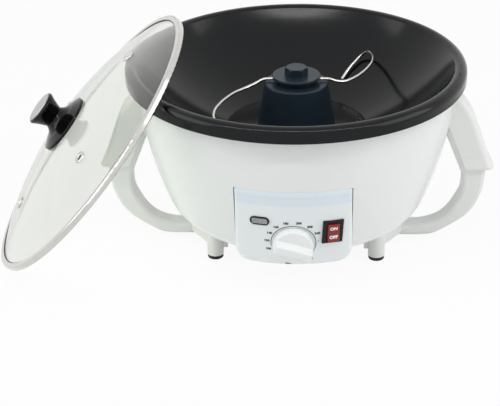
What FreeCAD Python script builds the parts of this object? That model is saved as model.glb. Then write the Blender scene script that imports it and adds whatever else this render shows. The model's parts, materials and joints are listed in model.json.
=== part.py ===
import FreeCAD, Part
import math
import os

# Countertop coffee bean roaster: a bowl-shaped housing on four feet, a non-stick pan that hangs in it
# by its rim, a gear motor below that turns two stirring wires, and a loose domed glass lid that leans
# against the rim. Millimetres, +Z up, front at -Y. The origin is on the floor, below the pan's axis.

# --- Clearances ---------------------------------------------------------------------------------
seat_gap = 0.1          # between parts that are screwed or pushed together
screw_gap = 0.05        # around a screw, rod or pin in its hole, on the radius
running_gap = 0.05      # around a turning shaft, on the radius
thermal_gap = 0.2       # between the heater or the sensor and the pan
loose_gap = 0.3         # between parts that move past each other
lean_gap = 0.6          # between the leaning lid's glass and the pan's rim
curve_tolerance = 0.05  # of the arcs that stand for a smooth curve

# --- Housing ------------------------------------------------------------------------------------
shell_floor_z = 34.0            # underside of the flat bottom
shell_floor_radius = 89.0       # where the flat bottom starts to curve up
shell_bend_radius = 39.5        # lower bend, in half section
shell_bend_angle = 68.0         # turn of the lower bend, in degrees
shell_wall = 2.0
seat_z = 180.0                  # top edge, which carries the pan's rim
shell_opening_radius = 66.0     # service opening in the bottom

base_plate_radius = 78.0
base_plate_thickness = 2.5
base_screw_count = 4
base_screw_circle = 72.0
base_vent_count = 12
base_vent_inner = 50.0
base_vent_outer = 62.0
base_vent_width = 4.0

# --- Pan ----------------------------------------------------------------------------------------
pan_rim_radius = 160.0
pan_rim_overhang = 10.0         # how far the rim reaches out past the shell's top edge
pan_rim_height = 7.5            # crest of the rim above the seat
pan_inner_roll = 5.5            # radius where the wall turns over into the rim
pan_outer_roll = 6.5            # radius of the rim's outer corner
pan_skirt_thickness = 3.0
pan_skirt_drop = 6.0            # how far the skirt hangs below the seat
pan_mouth_inset = 5.5           # from the shell's top edge in to the bowl's wall, at the seat
pan_floor_z = 121.0             # cooking floor
pan_floor_radius = 67.4         # where the bowl's wall rises from the floor
pan_wall = 2.0
pan_cone_foot_radius = 26.0
pan_cone_top_radius = 15.0
pan_cone_top_z = 150.0
pan_boss_radius = 6.0
pan_boss_depth = 7.0
pan_bore_end = 0.5              # what is left of the floor above a boss's bore

# --- Heater, rods and heat shield ---------------------------------------------------------------
heater_ring_radius = 58.0
heater_tube_radius = 3.5
heater_gap_angle = 36.0         # open part of the ring, at the back
heater_bend_radius = 9.0
heater_leg_end_z = 90.0
terminal_length = 10.0
terminal_radius = 4.5
tab_width = 6.3
tab_thickness = 0.8
tab_length = 9.0

rod_radius = 2.5
rod_circle = 46.0
rod_angles = (-90.0, 30.0, 150.0)
rod_end_z = 26.0
nut_flats = 8.0
nut_height = 4.0
clamp_thickness = 1.7
clamp_width = 12.0
clamp_inner = 38.0
clamp_outer = 65.0

shield_z = 98.0
shield_thickness = 0.8
shield_radius = 100.0
shield_rim_height = 12.0
shield_flare = 4.8              # outward run of the shield's rim
shield_hole_radius = 14.0
shield_leg_gap = 1.0            # around the heater's terminals

# --- Drive --------------------------------------------------------------------------------------
motor_top_z = 70.0
motor_height = 24.0
motor_radius = 25.0
motor_offset = 13.0             # the can stands behind its output shaft
motor_ear_reach = 30.0
motor_ear_radius = 5.0
motor_ear_thickness = 1.2
motor_neck_radius = 5.5
motor_neck_height = 3.0
output_shaft_radius = 3.5
output_shaft_top_z = 86.0
output_shaft_depth = 9.0

bracket_thickness = 1.5
bracket_half_length = 35.0
bracket_front_y = -12.0
bracket_back_y = 28.0
bracket_leg_back_y = 7.0
bracket_foot_length = 13.0
bracket_screw_reach = 7.15      # from the leg out to the screws in the foot
bracket_screw_margin = 5.0      # from the foot's front and back edges to its screws

coupling_radius = 8.0
coupling_bottom_z = 76.0
coupling_top_z = 95.0
drive_shaft_radius = 4.0
drive_shaft_top_z = 178.0

bush_radius = 7.0
bush_bottom_z = 126.0
bush_flange_radius = 10.0
bush_flange_thickness = 1.5
bush_nut_flats = 19.0
bush_nut_height = 4.0
washer_radius = 9.0
washer_thickness = 1.0

# --- Stirrer ------------------------------------------------------------------------------------
hub_skirt_radius = 37.0
hub_skirt_clearance = 2.0       # above the cooking floor
hub_shoulder_radius = 30.0
hub_shoulder_z = 166.0
hub_wall = 3.0
hub_neck_radius = 17.0
hub_neck_height = 4.5
hub_boss_radius = 10.0
hub_edge_radius = 2.0
plate_radius = 22.8
plate_thickness = 2.5
cap_nut_flats = 19.0
cap_nut_height = 7.5
wire_radius = 1.5
wire_anchor = 9.0               # how far from the axis the wire starts, inside the neck
wire_height = 2.4               # of the wire above the hub's shoulder
wire_anchor_gap = 1.0           # between the tunnel's end and the wire's
wire_straight = 4.0             # how far the wire runs straight out of the neck
# Bends of a wire beyond that: share of the way from the hub's shoulder out to the bowl's wall, direction
# in degrees, and height above the cooking floor as a share of the shoulder's.
wire_bends = ((0.01, 1, 1.05), (0.08, 4, 0.97), (0.17, 9, 0.92), (0.31, 19, 0.92), (0.48, 30, 0.92),
              (0.65, 39, 0.92), (0.77, 46, 0.92), (0.86, 53, 0.89), (0.93, 57, 0.71), (0.93, 60, 0.5),
              (0.91, 61, 0.32))

# --- Handles and feet ---------------------------------------------------------------------------
foot_x = 77.8
foot_y = 44.0
foot_post_radius = 8.0
foot_pad_height = 4.0
foot_pad_radius = 7.6
foot_peg_radius = 3.0
foot_peg_height = 5.0
foot_peg_gap = 0.5              # above the peg in its bore
foot_pad_edge = 1.0

handle_half_width = 10.5
handle_edge_radius = 4.5
handle_arm_top = (156.0, 148.0)         # outer line of the arm, at the top
handle_elbow = (182.0, 78.0)            # outer line of the arm, at the elbow
handle_outer_side = (178.3, 50.5)
handle_outer_corner = (164.3, 27.8)
handle_under_side = (141.6, 12.0)
handle_under = (114.0, 6.2)
handle_heel = (101.0, 6.2)
handle_end_x = 97.0                     # upper end of the loop's end face, inside the web
handle_inner_toe = (108.0, 17.6)
handle_inner_sag = (121.5, 18.4)
handle_inner_corner = (144.0, 28.8)
handle_inner_side = (156.2, 47.5)
handle_inner_elbow = (159.9, 72.0)
handle_inner_top = (143.8, 112.5)
handle_inner_root = 10.0                # rise of the arm's underside on its way into the housing

web_inner_radius = 79.0
web_heel_x = 103.0                      # the web's outer edge beside the loop
web_foot_x = 80.0                       # the web's outer edge beside the posts
web_bottom_z = 10.0
web_top_z = 27.0

cover_half_width = 13.2
cover_top = (151.0, 158.5)
cover_shoulder = (162.6, 145.2)         # outer line of the cover, where it bends
cover_waist = (172.9, 124.1)            # from here the outer line is straight
cover_tip = (188.6, 80.0)
cover_inner_step = 5.6                  # strip of the arm left bare beside the cover
cover_edge_radius = 6.0
cover_lip_height = 12.0                 # over which the cover swells out to its lip
cover_lip_foot = 3.0                    # straight part of the lip
cover_lip_flare = 1.6                   # how far the lip stands out of the cover
cover_lip_edge = 1.4

handle_screw_heights = (123.0, 138.0)
handle_screw_length = 9.0

# --- Screws -------------------------------------------------------------------------------------
screw_radius = 2.0
screw_head_radius = 3.8
screw_head_height = 2.2
foot_screw_length = 16.0
small_screw_radius = 1.5
small_head_radius = 3.0
small_head_height = 1.6

# --- Control panel ------------------------------------------------------------------------------
panel_half_width = 53.0
panel_bottom_z = 36.5
panel_bottom_radius = 126.0
panel_brow_z = 112.0
panel_brow_radius = 142.6
panel_top_z = 122.0
panel_recess = 1.2              # step below the shell at the panel's top edge
panel_wall = 2.5
panel_corner_radius = 14.0
panel_edge_radius = 5.0
panel_gap = 0.2
panel_back_radius = 96.0
panel_collar = 5.0              # how far the panel's walls reach inside the shell
panel_brow_swell = (0.82, 0.35)  # share of the slope over the brow, and rise, of its middle

dial_z = 62.6
dial_hole_radius = 5.2
dial_pad_half_width = 19.0
dial_pad_half_height = 15.0
dial_pad_back = 4.5             # flat back of the pad, below the face
knob_radius = 18.4
knob_gap = 0.6
knob_disc_height = 7.0
knob_grip_height = 15.5
knob_grip_half_width = 4.6
knob_edge_radius = 1.6
knob_grip_inset = 0.6           # of the grip's ends from the knob's edge
knob_grip_angle = -18.0         # of the grip to the level, in degrees
knob_bore_end = 0.3             # above the spindle's end
spindle_radius = 3.0
spindle_top = 11.0
thermostat_half_width = 16.0
thermostat_half_height = 13.0
thermostat_depth = 18.0
thermostat_plate = 1.2
thermostat_lug = 2.0            # how far the plate reaches past the body on either side
thermostat_neck_depth = 1.0     # of the neck's end below the panel's face
thermostat_tab_x = 9.0
thermostat_tab_inset = 2.0
thermostat_screw_offset = 12.0
spindle_depth = 19.0
capillary_radius = 1.0
capillary_outlet = 14.4         # depth behind the face at which the tube leaves the thermostat
capillary_rise = 12.0           # straight up from the thermostat
capillary_margin = 4.0          # from the heat shield's rim
capillary_bends_x = (4.0, 14.0, 24.0, 33.0, 30.0)
capillary_lap = 2.0             # of the tube into the bulb
bulb_drop = 3.6                 # of the bulb's axis below the pan
bulb_radius = 3.0
bulb_length = 50.0
bulb_distance = 72.0

switch_azimuth = 15.2
switch_z = 74.8
switch_half_width = 9.5
switch_half_height = 12.5
switch_bezel_height = 2.0
switch_sink = 0.5               # the flat bezel sits this deep in the curved face
switch_body_inset = 1.3
switch_depth = 17.0
switch_bezel_edge = 0.8
switch_tab_y = 6.0
rocker_half_width = 5.4
rocker_half_height = 9.0
rocker_pivot = -1.5
rocker_rise = 6.0
rocker_valley = 5.1
rocker_keel = 5.0
rocker_shoulder = 0.6           # how far the ends bulge at the pivot's height
rocker_keel_share = 0.8
rocker_tilt = 6.5
rocker_side_gap = 0.45
rocker_end_gap = 1.3
rocker_floor_gap = 2.2
rocker_pin_radius = 1.5
rocker_pin_reach = 1.6
rocker_pin_gap = 0.2            # at the pin's ends

lamp_azimuth = -12.7
lamp_z = 86.9
lamp_length = 18.0
lamp_width = 9.0
lamp_rim = 1.0
lamp_sink = 0.5
lamp_rim_height = 0.9
lamp_collar_depth = 6.0
lamp_lens_height = 1.3
lamp_lens_depth = 2.5
lamp_lens_edge = 0.5
neon_radius = 1.6
neon_length = 9.0
neon_holder_depth = 1.0         # of the holder inside the collar, and again behind it
neon_stem_radius = 0.5

# --- Cord gland and terminal block --------------------------------------------------------------
gland_z = 66.0
gland_neck_radius = 6.0
gland_flange_radius = 9.0
gland_flange_thickness = 2.5
gland_bore_radius = 3.5
gland_nut_flats = 17.0
gland_nut_height = 4.0
gland_curve_gap = 0.6           # room for the shell's curve under the flat nut
gland_tail = 3.0
terminal_block_length = 30.0
terminal_block_width = 16.0
terminal_block_height = 13.0
terminal_block_y = 51.0
terminal_block_poles = 3
terminal_bore_radius = 2.0
terminal_screw_margin = 3.0
cutout_radius = 8.0
cutout_height = 6.0
cutout_neck_radius = 6.4
cutout_cap_height = 1.8
cutout_circle = 40.0
cutout_angle = -30.0

# --- Lid ----------------------------------------------------------------------------------------
lid_radius = 144.0
lid_band_wall = 0.8
lid_band_lip = 5.5
lid_band_bottom = -2.7
lid_band_top = 3.3
lid_hem = 1.0
lid_edge_radius = 1.5
lid_glass_thickness = 4.0
lid_dome_height = 30.5
lid_lean = 39.6                 # of the lid's axis above the floor, in degrees
lid_heading = 186.4             # direction in which the lid leans out, in degrees
lid_vent_circle = 88.0
lid_vent_count = 4
lid_vent_first = 10.0
vent_hole_radius = 3.6
vent_flange_radius = 6.0
vent_flange_thickness = 0.8
vent_bore_radius = 2.2
vent_roll_inset = 1.4           # by how much the inner roll is smaller than the outer flange
lid_knob_base_radius = 29.0
lid_knob_base_height = 1.8
lid_knob_base_edge = 0.8        # rounding of the base's rim
lid_knob_saucer_radius = 20.0   # where the base's flat slope ends
lid_knob_saucer_rise = 5.2
lid_knob_foot_radius = 13.4     # half way up the cove from the slope to the waist
lid_knob_foot_rise = 8.6
lid_knob_waist_radius = 10.8
lid_knob_waist_height = 12.5
lid_knob_neck_swell = 2.5       # from the waist out to the middle of the knob's cone
lid_knob_top_radius = 16.4
lid_knob_height = 28.5
lid_knob_top_depth = 3.0        # height of the knob's top above its cone
lid_knob_top_bulge = 0.3
lid_knob_top_edge = 1.0
lid_knob_disc_radius = 14.8
lid_knob_disc_height = 0.9
lid_knob_disc_depth = 1.5
lid_knob_disc_edge = 0.6
lid_screw_radius = 3.0
lid_screw_head_radius = 6.0
lid_screw_head_height = 2.5
lid_screw_depth = 16.0
lid_screw_end_gap = 1.0
lid_hole_gap = 1.0              # around the knob's screw in the glass
lid_washer_radius = 10.0
lid_washer_thickness = 1.5
lid_collar_gap = 0.2            # between the washer's collar and the glass


# --- Small tools --------------------------------------------------------------------------------
def vec(x, y, z):
    return FreeCAD.Vector(x, y, z)


def polar(radius, degrees):
    """X and Y of a point on a circle about the Z axis."""
    return radius * math.cos(math.radians(degrees)), radius * math.sin(math.radians(degrees))


class Outline:
    """A closed outline in the XZ plane, drawn with straight lines, arcs and smooth curves."""

    def __init__(self, x, z):
        self.first = (x, z)
        self.here = (x, z)
        self.edges = []

    def line(self, x, z):
        if math.dist(self.here, (x, z)) > 1e-6:
            self.edges.append(Part.makeLine(vec(self.here[0], 0, self.here[1]), vec(x, 0, z)))
            self.here = (x, z)
        return self

    def arc(self, middle, end):
        curve = Part.Arc(vec(self.here[0], 0, self.here[1]), vec(middle[0], 0, middle[1]),
                         vec(end[0], 0, end[1]))
        self.edges.append(curve.toShape())
        self.here = end
        return self

    def arc_about(self, centre, end):
        """Arc to the end point about a centre, the short way round."""
        start = math.atan2(self.here[1] - centre[1], self.here[0] - centre[0])
        stop = math.atan2(end[1] - centre[1], end[0] - centre[0])
        turn = (stop - start + math.pi) % (2 * math.pi) - math.pi
        radius = math.dist(self.here, centre)
        half = start + turn / 2
        return self.arc((centre[0] + radius * math.cos(half), centre[1] + radius * math.sin(half)), end)

    def curve(self, way_in, points, way_out):
        """Smooth run of arcs through the points, which sets out one way and arrives another."""
        first, last = (vec(x, 0, z) for x, z in (way_in, way_out))
        course = [vec(x, 0, z) for x, z in [self.here, *points]]
        smooth = Part.BSplineCurve()
        smooth.interpolate(Points=course, InitialTangent=first, FinalTangent=last)
        self.edges += [arc.toShape() for arc in smooth.toBiArcs(curve_tolerance)]
        self.here = points[-1]
        return self

    def face(self):
        self.line(*self.first)
        return Part.Face(Part.Wire(self.edges))

    def spin(self):
        return self.face().revolve(vec(0, 0, 0), vec(0, 0, 1), 360)

    def prism(self, half_width):
        face = self.face()
        face.translate(vec(0, -half_width, 0))
        return face.extrude(vec(0, 2 * half_width, 0))


def cylinder(radius, bottom, top, x=0.0, y=0.0):
    return Part.makeCylinder(radius, top - bottom, vec(x, y, bottom))


def ring(outer, inner, bottom, top, x=0.0, y=0.0):
    return cylinder(outer, bottom, top, x, y).cut(cylinder(inner, bottom, top, x, y))


def box(low, high):
    return Part.makeBox(high[0] - low[0], high[1] - low[1], high[2] - low[2], vec(*low))


def hexagon(flats, bottom, top, x=0.0, y=0.0):
    corner = flats / math.sqrt(3)
    points = [vec(x + corner * math.cos(math.radians(60 * k)), y + corner * math.sin(math.radians(60 * k)),
                  bottom) for k in range(7)]
    return Part.Face(Part.makePolygon(points)).extrude(vec(0, 0, top - bottom))


def slot(length, width, bottom, top):
    """A long round-ended block, centred on the Z axis, with its length along X."""
    reach = (length - width) / 2
    body = box((-reach, -width / 2, bottom), (reach, width / 2, top))
    return body.fuse([cylinder(width / 2, bottom, top, -reach), cylinder(width / 2, bottom, top, reach)]
                     ).removeSplitter()


def join(shapes):
    return shapes[0].fuse(shapes[1:]).removeSplitter()


def cut_all(shape, tools):
    for tool in tools:
        shape = shape.cut(tool)
    return shape


def group(shapes):
    return Part.Compound(shapes)


def on_frame(shape, frame):
    """The shape moved from the drawing's own axes to a frame (origin, u, v, w)."""
    origin, u, v, w = frame
    matrix = FreeCAD.Matrix(u.x, v.x, w.x, origin.x, u.y, v.y, w.y, origin.y,
                            u.z, v.z, w.z, origin.z, 0, 0, 0, 1)
    moved = shape.copy()
    moved.transformShape(matrix)
    return moved


def turned(shape, degrees):
    """The shape turned about the Z axis."""
    moved = shape.copy()
    moved.rotate(vec(0, 0, 0), vec(0, 0, 1), degrees)
    return moved


def mirrored(shape):
    """The shape on the other side of the YZ plane."""
    return shape.mirror(vec(0, 0, 0), vec(1, 0, 0))


def bent_tube(points, radius):
    """Round bar along straight runs joined by tangent arcs, each as large as its runs allow."""
    edges = []
    here = points[0]
    for before, corner, after in zip(points, points[1:], points[2:]):
        back = before - corner
        ahead = after - corner
        reach = 0.45 * min(back.Length, ahead.Length)
        back.normalize()
        ahead.normalize()
        half_turn = (math.pi - back.getAngle(ahead)) / 2
        bisector = back + ahead
        bisector.normalize()
        start = corner + back * reach
        stop = corner + ahead * reach
        bend = reach / math.tan(half_turn)
        middle = corner + bisector * (bend / math.cos(half_turn) - bend)
        edges.append(Part.makeLine(here, start))
        edges.append(Part.Arc(start, middle, stop).toShape())
        here = stop
    edges.append(Part.makeLine(here, points[-1]))
    path = Part.Wire(edges)
    section = Part.Wire([Part.makeCircle(radius, points[0], points[1] - points[0])])
    return path.makePipeShell([section], True, False)


def screw(shank, length, head, height):
    """A round-headed screw along Z: the head's seat at zero, the shank pointing down."""
    return join([cylinder(head, 0, height), cylinder(shank, -length, 0.1)])


# --- Housing profile ----------------------------------------------------------------------------
shell_top_radius = pan_rim_radius - pan_rim_overhang


def shell_arcs():
    """Centres of the two arcs in the shell's half section, the way out to their joint, the upper radius."""
    angle = math.radians(shell_bend_angle)
    way = (math.sin(angle), -math.cos(angle))
    bend = (shell_floor_radius, shell_floor_z + shell_bend_radius)
    joint = (bend[0] + shell_bend_radius * way[0], bend[1] + shell_bend_radius * way[1])
    rise = (shell_top_radius - joint[0], seat_z - joint[1])
    radius = -(rise[0] ** 2 + rise[1] ** 2) / (2 * (rise[0] * way[0] + rise[1] * way[1]))
    wall = (joint[0] - radius * way[0], joint[1] - radius * way[1])
    return bend, wall, way, radius


def shell_joint(inset):
    """The point between the two arcs, on a profile that lies inset from the outer face."""
    bend, wall, way, radius = shell_arcs()
    return bend[0] + (shell_bend_radius - inset) * way[0], bend[1] + (shell_bend_radius - inset) * way[1]


def shell_radius(z, inset=0.0):
    """Radius of the housing at a height, on a profile that lies inset from the outer face."""
    bend, wall, way, radius = shell_arcs()
    if z < shell_joint(inset)[1]:
        return bend[0] + math.sqrt((shell_bend_radius - inset) ** 2 - (bend[1] - z) ** 2)
    return wall[0] + math.sqrt((radius - inset) ** 2 - (wall[1] - z) ** 2)


def shell_inside_z(radius):
    """Height of the inside of the shell's bottom at a radius in its lower bend."""
    bend, wall, way, upper = shell_arcs()
    return bend[1] - math.sqrt((shell_bend_radius - shell_wall) ** 2 - max(radius - bend[0], 0.0) ** 2)


def housing_volume(inset):
    """Everything inside a profile that lies inset from the shell's outer face."""
    bend, wall, way, radius = shell_arcs()
    outline = Outline(0, shell_floor_z + inset)
    outline.line(shell_floor_radius, shell_floor_z + inset)
    outline.arc_about(bend, shell_joint(inset))
    outline.arc_about(wall, (shell_radius(seat_z, inset), seat_z))
    outline.line(0, seat_z)
    return outline.spin()


# --- Panel face ---------------------------------------------------------------------------------
panel_slope = math.atan2(panel_brow_radius - panel_bottom_radius, panel_brow_z - panel_bottom_z)


def face_radius(z):
    """Radius of the panel's conical face at a height."""
    return panel_bottom_radius + (z - panel_bottom_z) * math.tan(panel_slope)


def face_frame(azimuth, z):
    """Frame on the panel's face: u to the right, v up the face, w straight out of it."""
    turn = math.radians(azimuth)
    radius = face_radius(z)
    out = vec(math.sin(turn) * math.cos(panel_slope), -math.cos(turn) * math.cos(panel_slope),
              -math.sin(panel_slope))
    right = vec(math.cos(turn), math.sin(turn), 0)
    origin = vec(radius * math.sin(turn), -radius * math.cos(turn), z)
    return origin, right, out.cross(right), out


def panel_volume(inset):
    """The panel as a full block, made smaller by an inset on every side that shows."""
    slant = inset / math.cos(panel_slope)
    top_radius = shell_radius(panel_top_z) - panel_recess - inset
    slope_share, swell = panel_brow_swell
    half_rise = (panel_top_z - panel_brow_z) / 2
    bulge = (panel_brow_radius + slope_share * half_rise * math.tan(panel_slope) + swell - slant,
             panel_brow_z + half_rise)
    section = Outline(panel_back_radius, panel_bottom_z + inset)
    section.line(face_radius(panel_bottom_z + inset) - slant, panel_bottom_z + inset)
    section.line(panel_brow_radius - slant, panel_brow_z)
    section.arc(bulge, (top_radius, panel_top_z - inset))
    section.line(panel_back_radius, panel_top_z - inset)
    side = panel_half_width - inset
    corner = panel_corner_radius - inset
    low = panel_bottom_z + inset
    front = Outline(-side, panel_top_z - inset)
    front.line(-side, low + corner).arc_about((-side + corner, low + corner), (-side + corner, low))
    front.line(side - corner, low).arc_about((side - corner, low + corner), (side, low + corner))
    front.line(side, panel_top_z - inset)
    block = front.prism(2 * panel_brow_radius)
    return section.spin().common(block).common(
        box((-2 * side, -2 * panel_brow_radius, 0), (2 * side, 0, seat_z)))


def is_front(face):
    """Whether a face of the panel's block is part of its curved front."""
    middle = face.CenterOfMass
    return (face.Surface.TypeId != "Part::GeomPlane" and abs(middle.x) < 1.0
            and math.hypot(middle.x, middle.y) > panel_bottom_radius)


def rounded_panel():
    """The panel's block with its long front edges rounded."""
    block = panel_volume(0)
    front = [face for face in block.Faces if is_front(face)]
    edges = []
    for face in front:
        for edge in face.Edges:
            shared = sum(1 for other in front if any(edge.isSame(item) for item in other.Edges)) > 1
            if not shared and edge.CenterOfMass.z < panel_top_z - 0.5:
                edges.append(edge)
    return block.makeFillet(panel_edge_radius, edges)


def lamp_opening():
    return slot(lamp_length - lamp_rim + seat_gap, lamp_width - lamp_rim + seat_gap,
                -lamp_collar_depth, lamp_rim_height)


def switch_body_size():
    return switch_half_width - switch_body_inset, switch_half_height - switch_body_inset


def control_panel():
    panel = rounded_panel().cut(panel_volume(panel_wall))
    panel = panel.cut(housing_volume(shell_wall + panel_collar))
    dial = face_frame(0, dial_z)
    pad = box((-dial_pad_half_width, -dial_pad_half_height, -dial_pad_back),
              (dial_pad_half_width, dial_pad_half_height, -panel_wall / 2))
    panel = join([panel, on_frame(pad, dial)])
    holes = [cylinder(dial_hole_radius, -2 * dial_pad_back, dial_pad_back)]
    for x in (-thermostat_screw_offset, thermostat_screw_offset):
        holes.append(cylinder(small_screw_radius + screw_gap, -2 * dial_pad_back, dial_pad_back, x))
        holes.append(cylinder(small_head_radius + screw_gap, -small_head_height - knob_gap, dial_pad_back, x))
    panel = cut_all(panel, [on_frame(hole, dial) for hole in holes])
    switch = face_frame(switch_azimuth, switch_z)
    wide, tall = switch_body_size()
    window = box((-wide - seat_gap, -tall - seat_gap, -switch_depth),
                 (wide + seat_gap, tall + seat_gap, switch_depth))
    bed = box((-switch_half_width - seat_gap, -switch_half_height - seat_gap, -switch_sink),
              (switch_half_width + seat_gap, switch_half_height + seat_gap, switch_depth))
    lamp = face_frame(lamp_azimuth, lamp_z)
    lamp_bed = slot(lamp_length + seat_gap, lamp_width + seat_gap, -lamp_sink, lamp_collar_depth)
    return cut_all(panel, [on_frame(window, switch), on_frame(bed, switch),
                           on_frame(lamp_opening(), lamp), on_frame(lamp_bed, lamp)])


# --- Housing parts ------------------------------------------------------------------------------
def gland_frame():
    """Frame at the back of the shell: w straight out of the surface."""
    bend, wall, way, radius = shell_arcs()
    at = shell_radius(gland_z)
    out = vec(0, (at - wall[0]) / radius, (gland_z - wall[1]) / radius)
    side = vec(1, 0, 0)
    return vec(0, at, gland_z), side, out.cross(side), out


def foot_places():
    return [(x, y) for x in (-foot_x, foot_x) for y in (-foot_y, foot_y)]


def base_screw_places():
    return [polar(base_screw_circle, 45 + 360 * k / base_screw_count) for k in range(base_screw_count)]


def rod_places():
    return [polar(rod_circle, angle) for angle in rod_angles]


def handle_screw_seat(z):
    """How far from the axis the inside of the shell gives a screw head its seat."""
    return shell_radius(z - screw_head_radius, shell_wall) - seat_gap


def outer_shell():
    bend, wall, way, radius = shell_arcs()
    top = shell_floor_z + shell_wall
    outline = Outline(shell_opening_radius, shell_floor_z).line(shell_floor_radius, shell_floor_z)
    outline.arc_about(bend, shell_joint(0)).arc_about(wall, (shell_top_radius, seat_z))
    outline.line(shell_radius(seat_z, shell_wall), seat_z).arc_about(wall, shell_joint(shell_wall))
    outline.arc_about(bend, (shell_floor_radius, top)).line(shell_opening_radius, top)
    holes = [panel_volume(-panel_gap)]
    holes += [cylinder(screw_radius + screw_gap, 0, seat_z / 2, x, y) for x, y in foot_places()]
    holes += [cylinder(screw_radius + screw_gap, 0, seat_z / 2, x, y) for x, y in base_screw_places()]
    for z in handle_screw_heights:
        holes.append(Part.makeCylinder(screw_radius + screw_gap, 2 * shell_top_radius,
                                       vec(-shell_top_radius, 0, z), vec(1, 0, 0)))
    holes.append(on_frame(cylinder(gland_neck_radius + seat_gap, -gland_nut_height, gland_nut_height),
                          gland_frame()))
    return cut_all(outline.spin(), holes)


def bracket_screw_places():
    x = bracket_half_length + bracket_screw_reach
    return [(side * x, y) for side in (-1, 1)
            for y in (bracket_front_y + bracket_screw_margin, bracket_leg_back_y - bracket_screw_margin)]


def base_plate():
    plate = cylinder(base_plate_radius, shell_floor_z - base_plate_thickness, shell_floor_z)
    vent = slot(base_vent_outer - base_vent_inner, base_vent_width, 0, shell_floor_z + 1)
    vent.translate(vec((base_vent_inner + base_vent_outer) / 2, 0, 0))
    step = 360 / base_vent_count
    holes = [turned(vent, step * (k + 0.5)) for k in range(base_vent_count)]
    holes += [cylinder(screw_radius + screw_gap, 0, seat_z / 2, x, y) for x, y in base_screw_places()]
    holes += [cylinder(rod_radius + screw_gap, 0, seat_z / 2, x, y) for x, y in rod_places()]
    holes += [cylinder(small_screw_radius + screw_gap, 0, seat_z / 2, x, y)
              for x, y in bracket_screw_places() + terminal_screw_places()]
    return cut_all(plate, holes)


def base_screws():
    """Screws from below through the base plate into the shell's bottom."""
    seat = shell_floor_z - base_plate_thickness
    upright = screw(screw_radius, base_plate_thickness + 2 * shell_wall, screw_head_radius, screw_head_height)
    upright.rotate(vec(0, 0, 0), vec(1, 0, 0), 180)
    placed = []
    for x, y in base_screw_places():
        piece = upright.copy()
        piece.translate(vec(x, y, seat))
        placed.append(piece)
    return group(placed)


# --- Handles and feet ---------------------------------------------------------------------------
def handle_outline(outer_shift):
    """Closed outline of the right-hand loop, with its upper arm run into the housing."""
    run = (handle_elbow[0] - handle_arm_top[0], handle_elbow[1] - handle_arm_top[1])
    length = math.hypot(*run)
    shift = (-run[1] / length * outer_shift, run[0] / length * outer_shift)
    inside = shell_radius(handle_inner_top[1]) - 2 * shell_wall
    outline = Outline(inside, handle_arm_top[1] + shift[1])
    outline.line(handle_arm_top[0] + shift[0], handle_arm_top[1] + shift[1])
    outline.line(handle_elbow[0] + shift[0], handle_elbow[1] + shift[1])
    outline.curve((0, -1), [handle_outer_side, handle_outer_corner, handle_under_side, handle_under], (-1, 0))
    outline.line(*handle_heel).line(handle_end_x, handle_inner_toe[1]).line(*handle_inner_toe)
    outline.curve((1, 0), [handle_inner_sag, handle_inner_corner, handle_inner_side, handle_inner_elbow],
                  (0, 1))
    outline.line(*handle_inner_top).line(inside, handle_inner_top[1] + handle_inner_root)
    return outline


def long_edges(shape, half_width):
    """Edges that lie on either flat side of a bar of the given half width."""
    return [edge for edge in shape.Edges if abs(abs(edge.CenterOfMass.y) - half_width) < 1e-4]


def handle_web():
    """Flat gusset from the loop's heel to both foot posts."""
    corners = [(0, -foot_y), (web_foot_x, -foot_y), (web_heel_x, -handle_half_width),
               (web_heel_x, handle_half_width), (web_foot_x, foot_y), (0, foot_y)]
    plate = Part.Face(Part.makePolygon([vec(x, y, web_bottom_z) for x, y in corners + corners[:1]]))
    return plate.extrude(vec(0, 0, web_top_z - web_bottom_z)).cut(cylinder(web_inner_radius, 0, seat_z))


def handle_loop():
    """Right-hand loop, web and two foot posts, in one moulding."""
    bar = handle_outline(0).prism(handle_half_width)
    bar = bar.makeFillet(handle_edge_radius, long_edges(bar, handle_half_width))
    posts = [cylinder(foot_post_radius, foot_pad_height, shell_floor_z, foot_x, y) for y in (-foot_y, foot_y)]
    body = join([bar, handle_web()] + posts).cut(housing_volume(0))
    under_shell = box((0, -foot_y - foot_post_radius, shell_floor_z),
                      (web_heel_x, foot_y + foot_post_radius, seat_z))
    body = body.cut(under_shell.common(cylinder(shell_floor_radius + shell_bend_radius, 0, seat_z)))
    holes = []
    for y in (-foot_y, foot_y):
        holes.append(cylinder(screw_radius + screw_gap, shell_floor_z - foot_screw_length, seat_z, foot_x, y))
        holes.append(cylinder(foot_peg_radius + screw_gap, 0, foot_pad_height + foot_peg_height, foot_x, y))
    for z in handle_screw_heights:
        holes.append(Part.makeCylinder(screw_radius + screw_gap, shell_wall + handle_screw_length,
                                       vec(handle_screw_seat(z), 0, z), vec(1, 0, 0)))
    return cut_all(body, holes)


def cover_inner_x(z):
    """Where the cover's side walls end towards the loop's gap, at a height."""
    slope = (handle_inner_elbow[0] - handle_inner_top[0]) / (handle_inner_elbow[1] - handle_inner_top[1])
    strip = cover_inner_step * math.hypot(1, slope)
    return handle_inner_elbow[0] + slope * (z - handle_inner_elbow[1]) + strip


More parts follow.
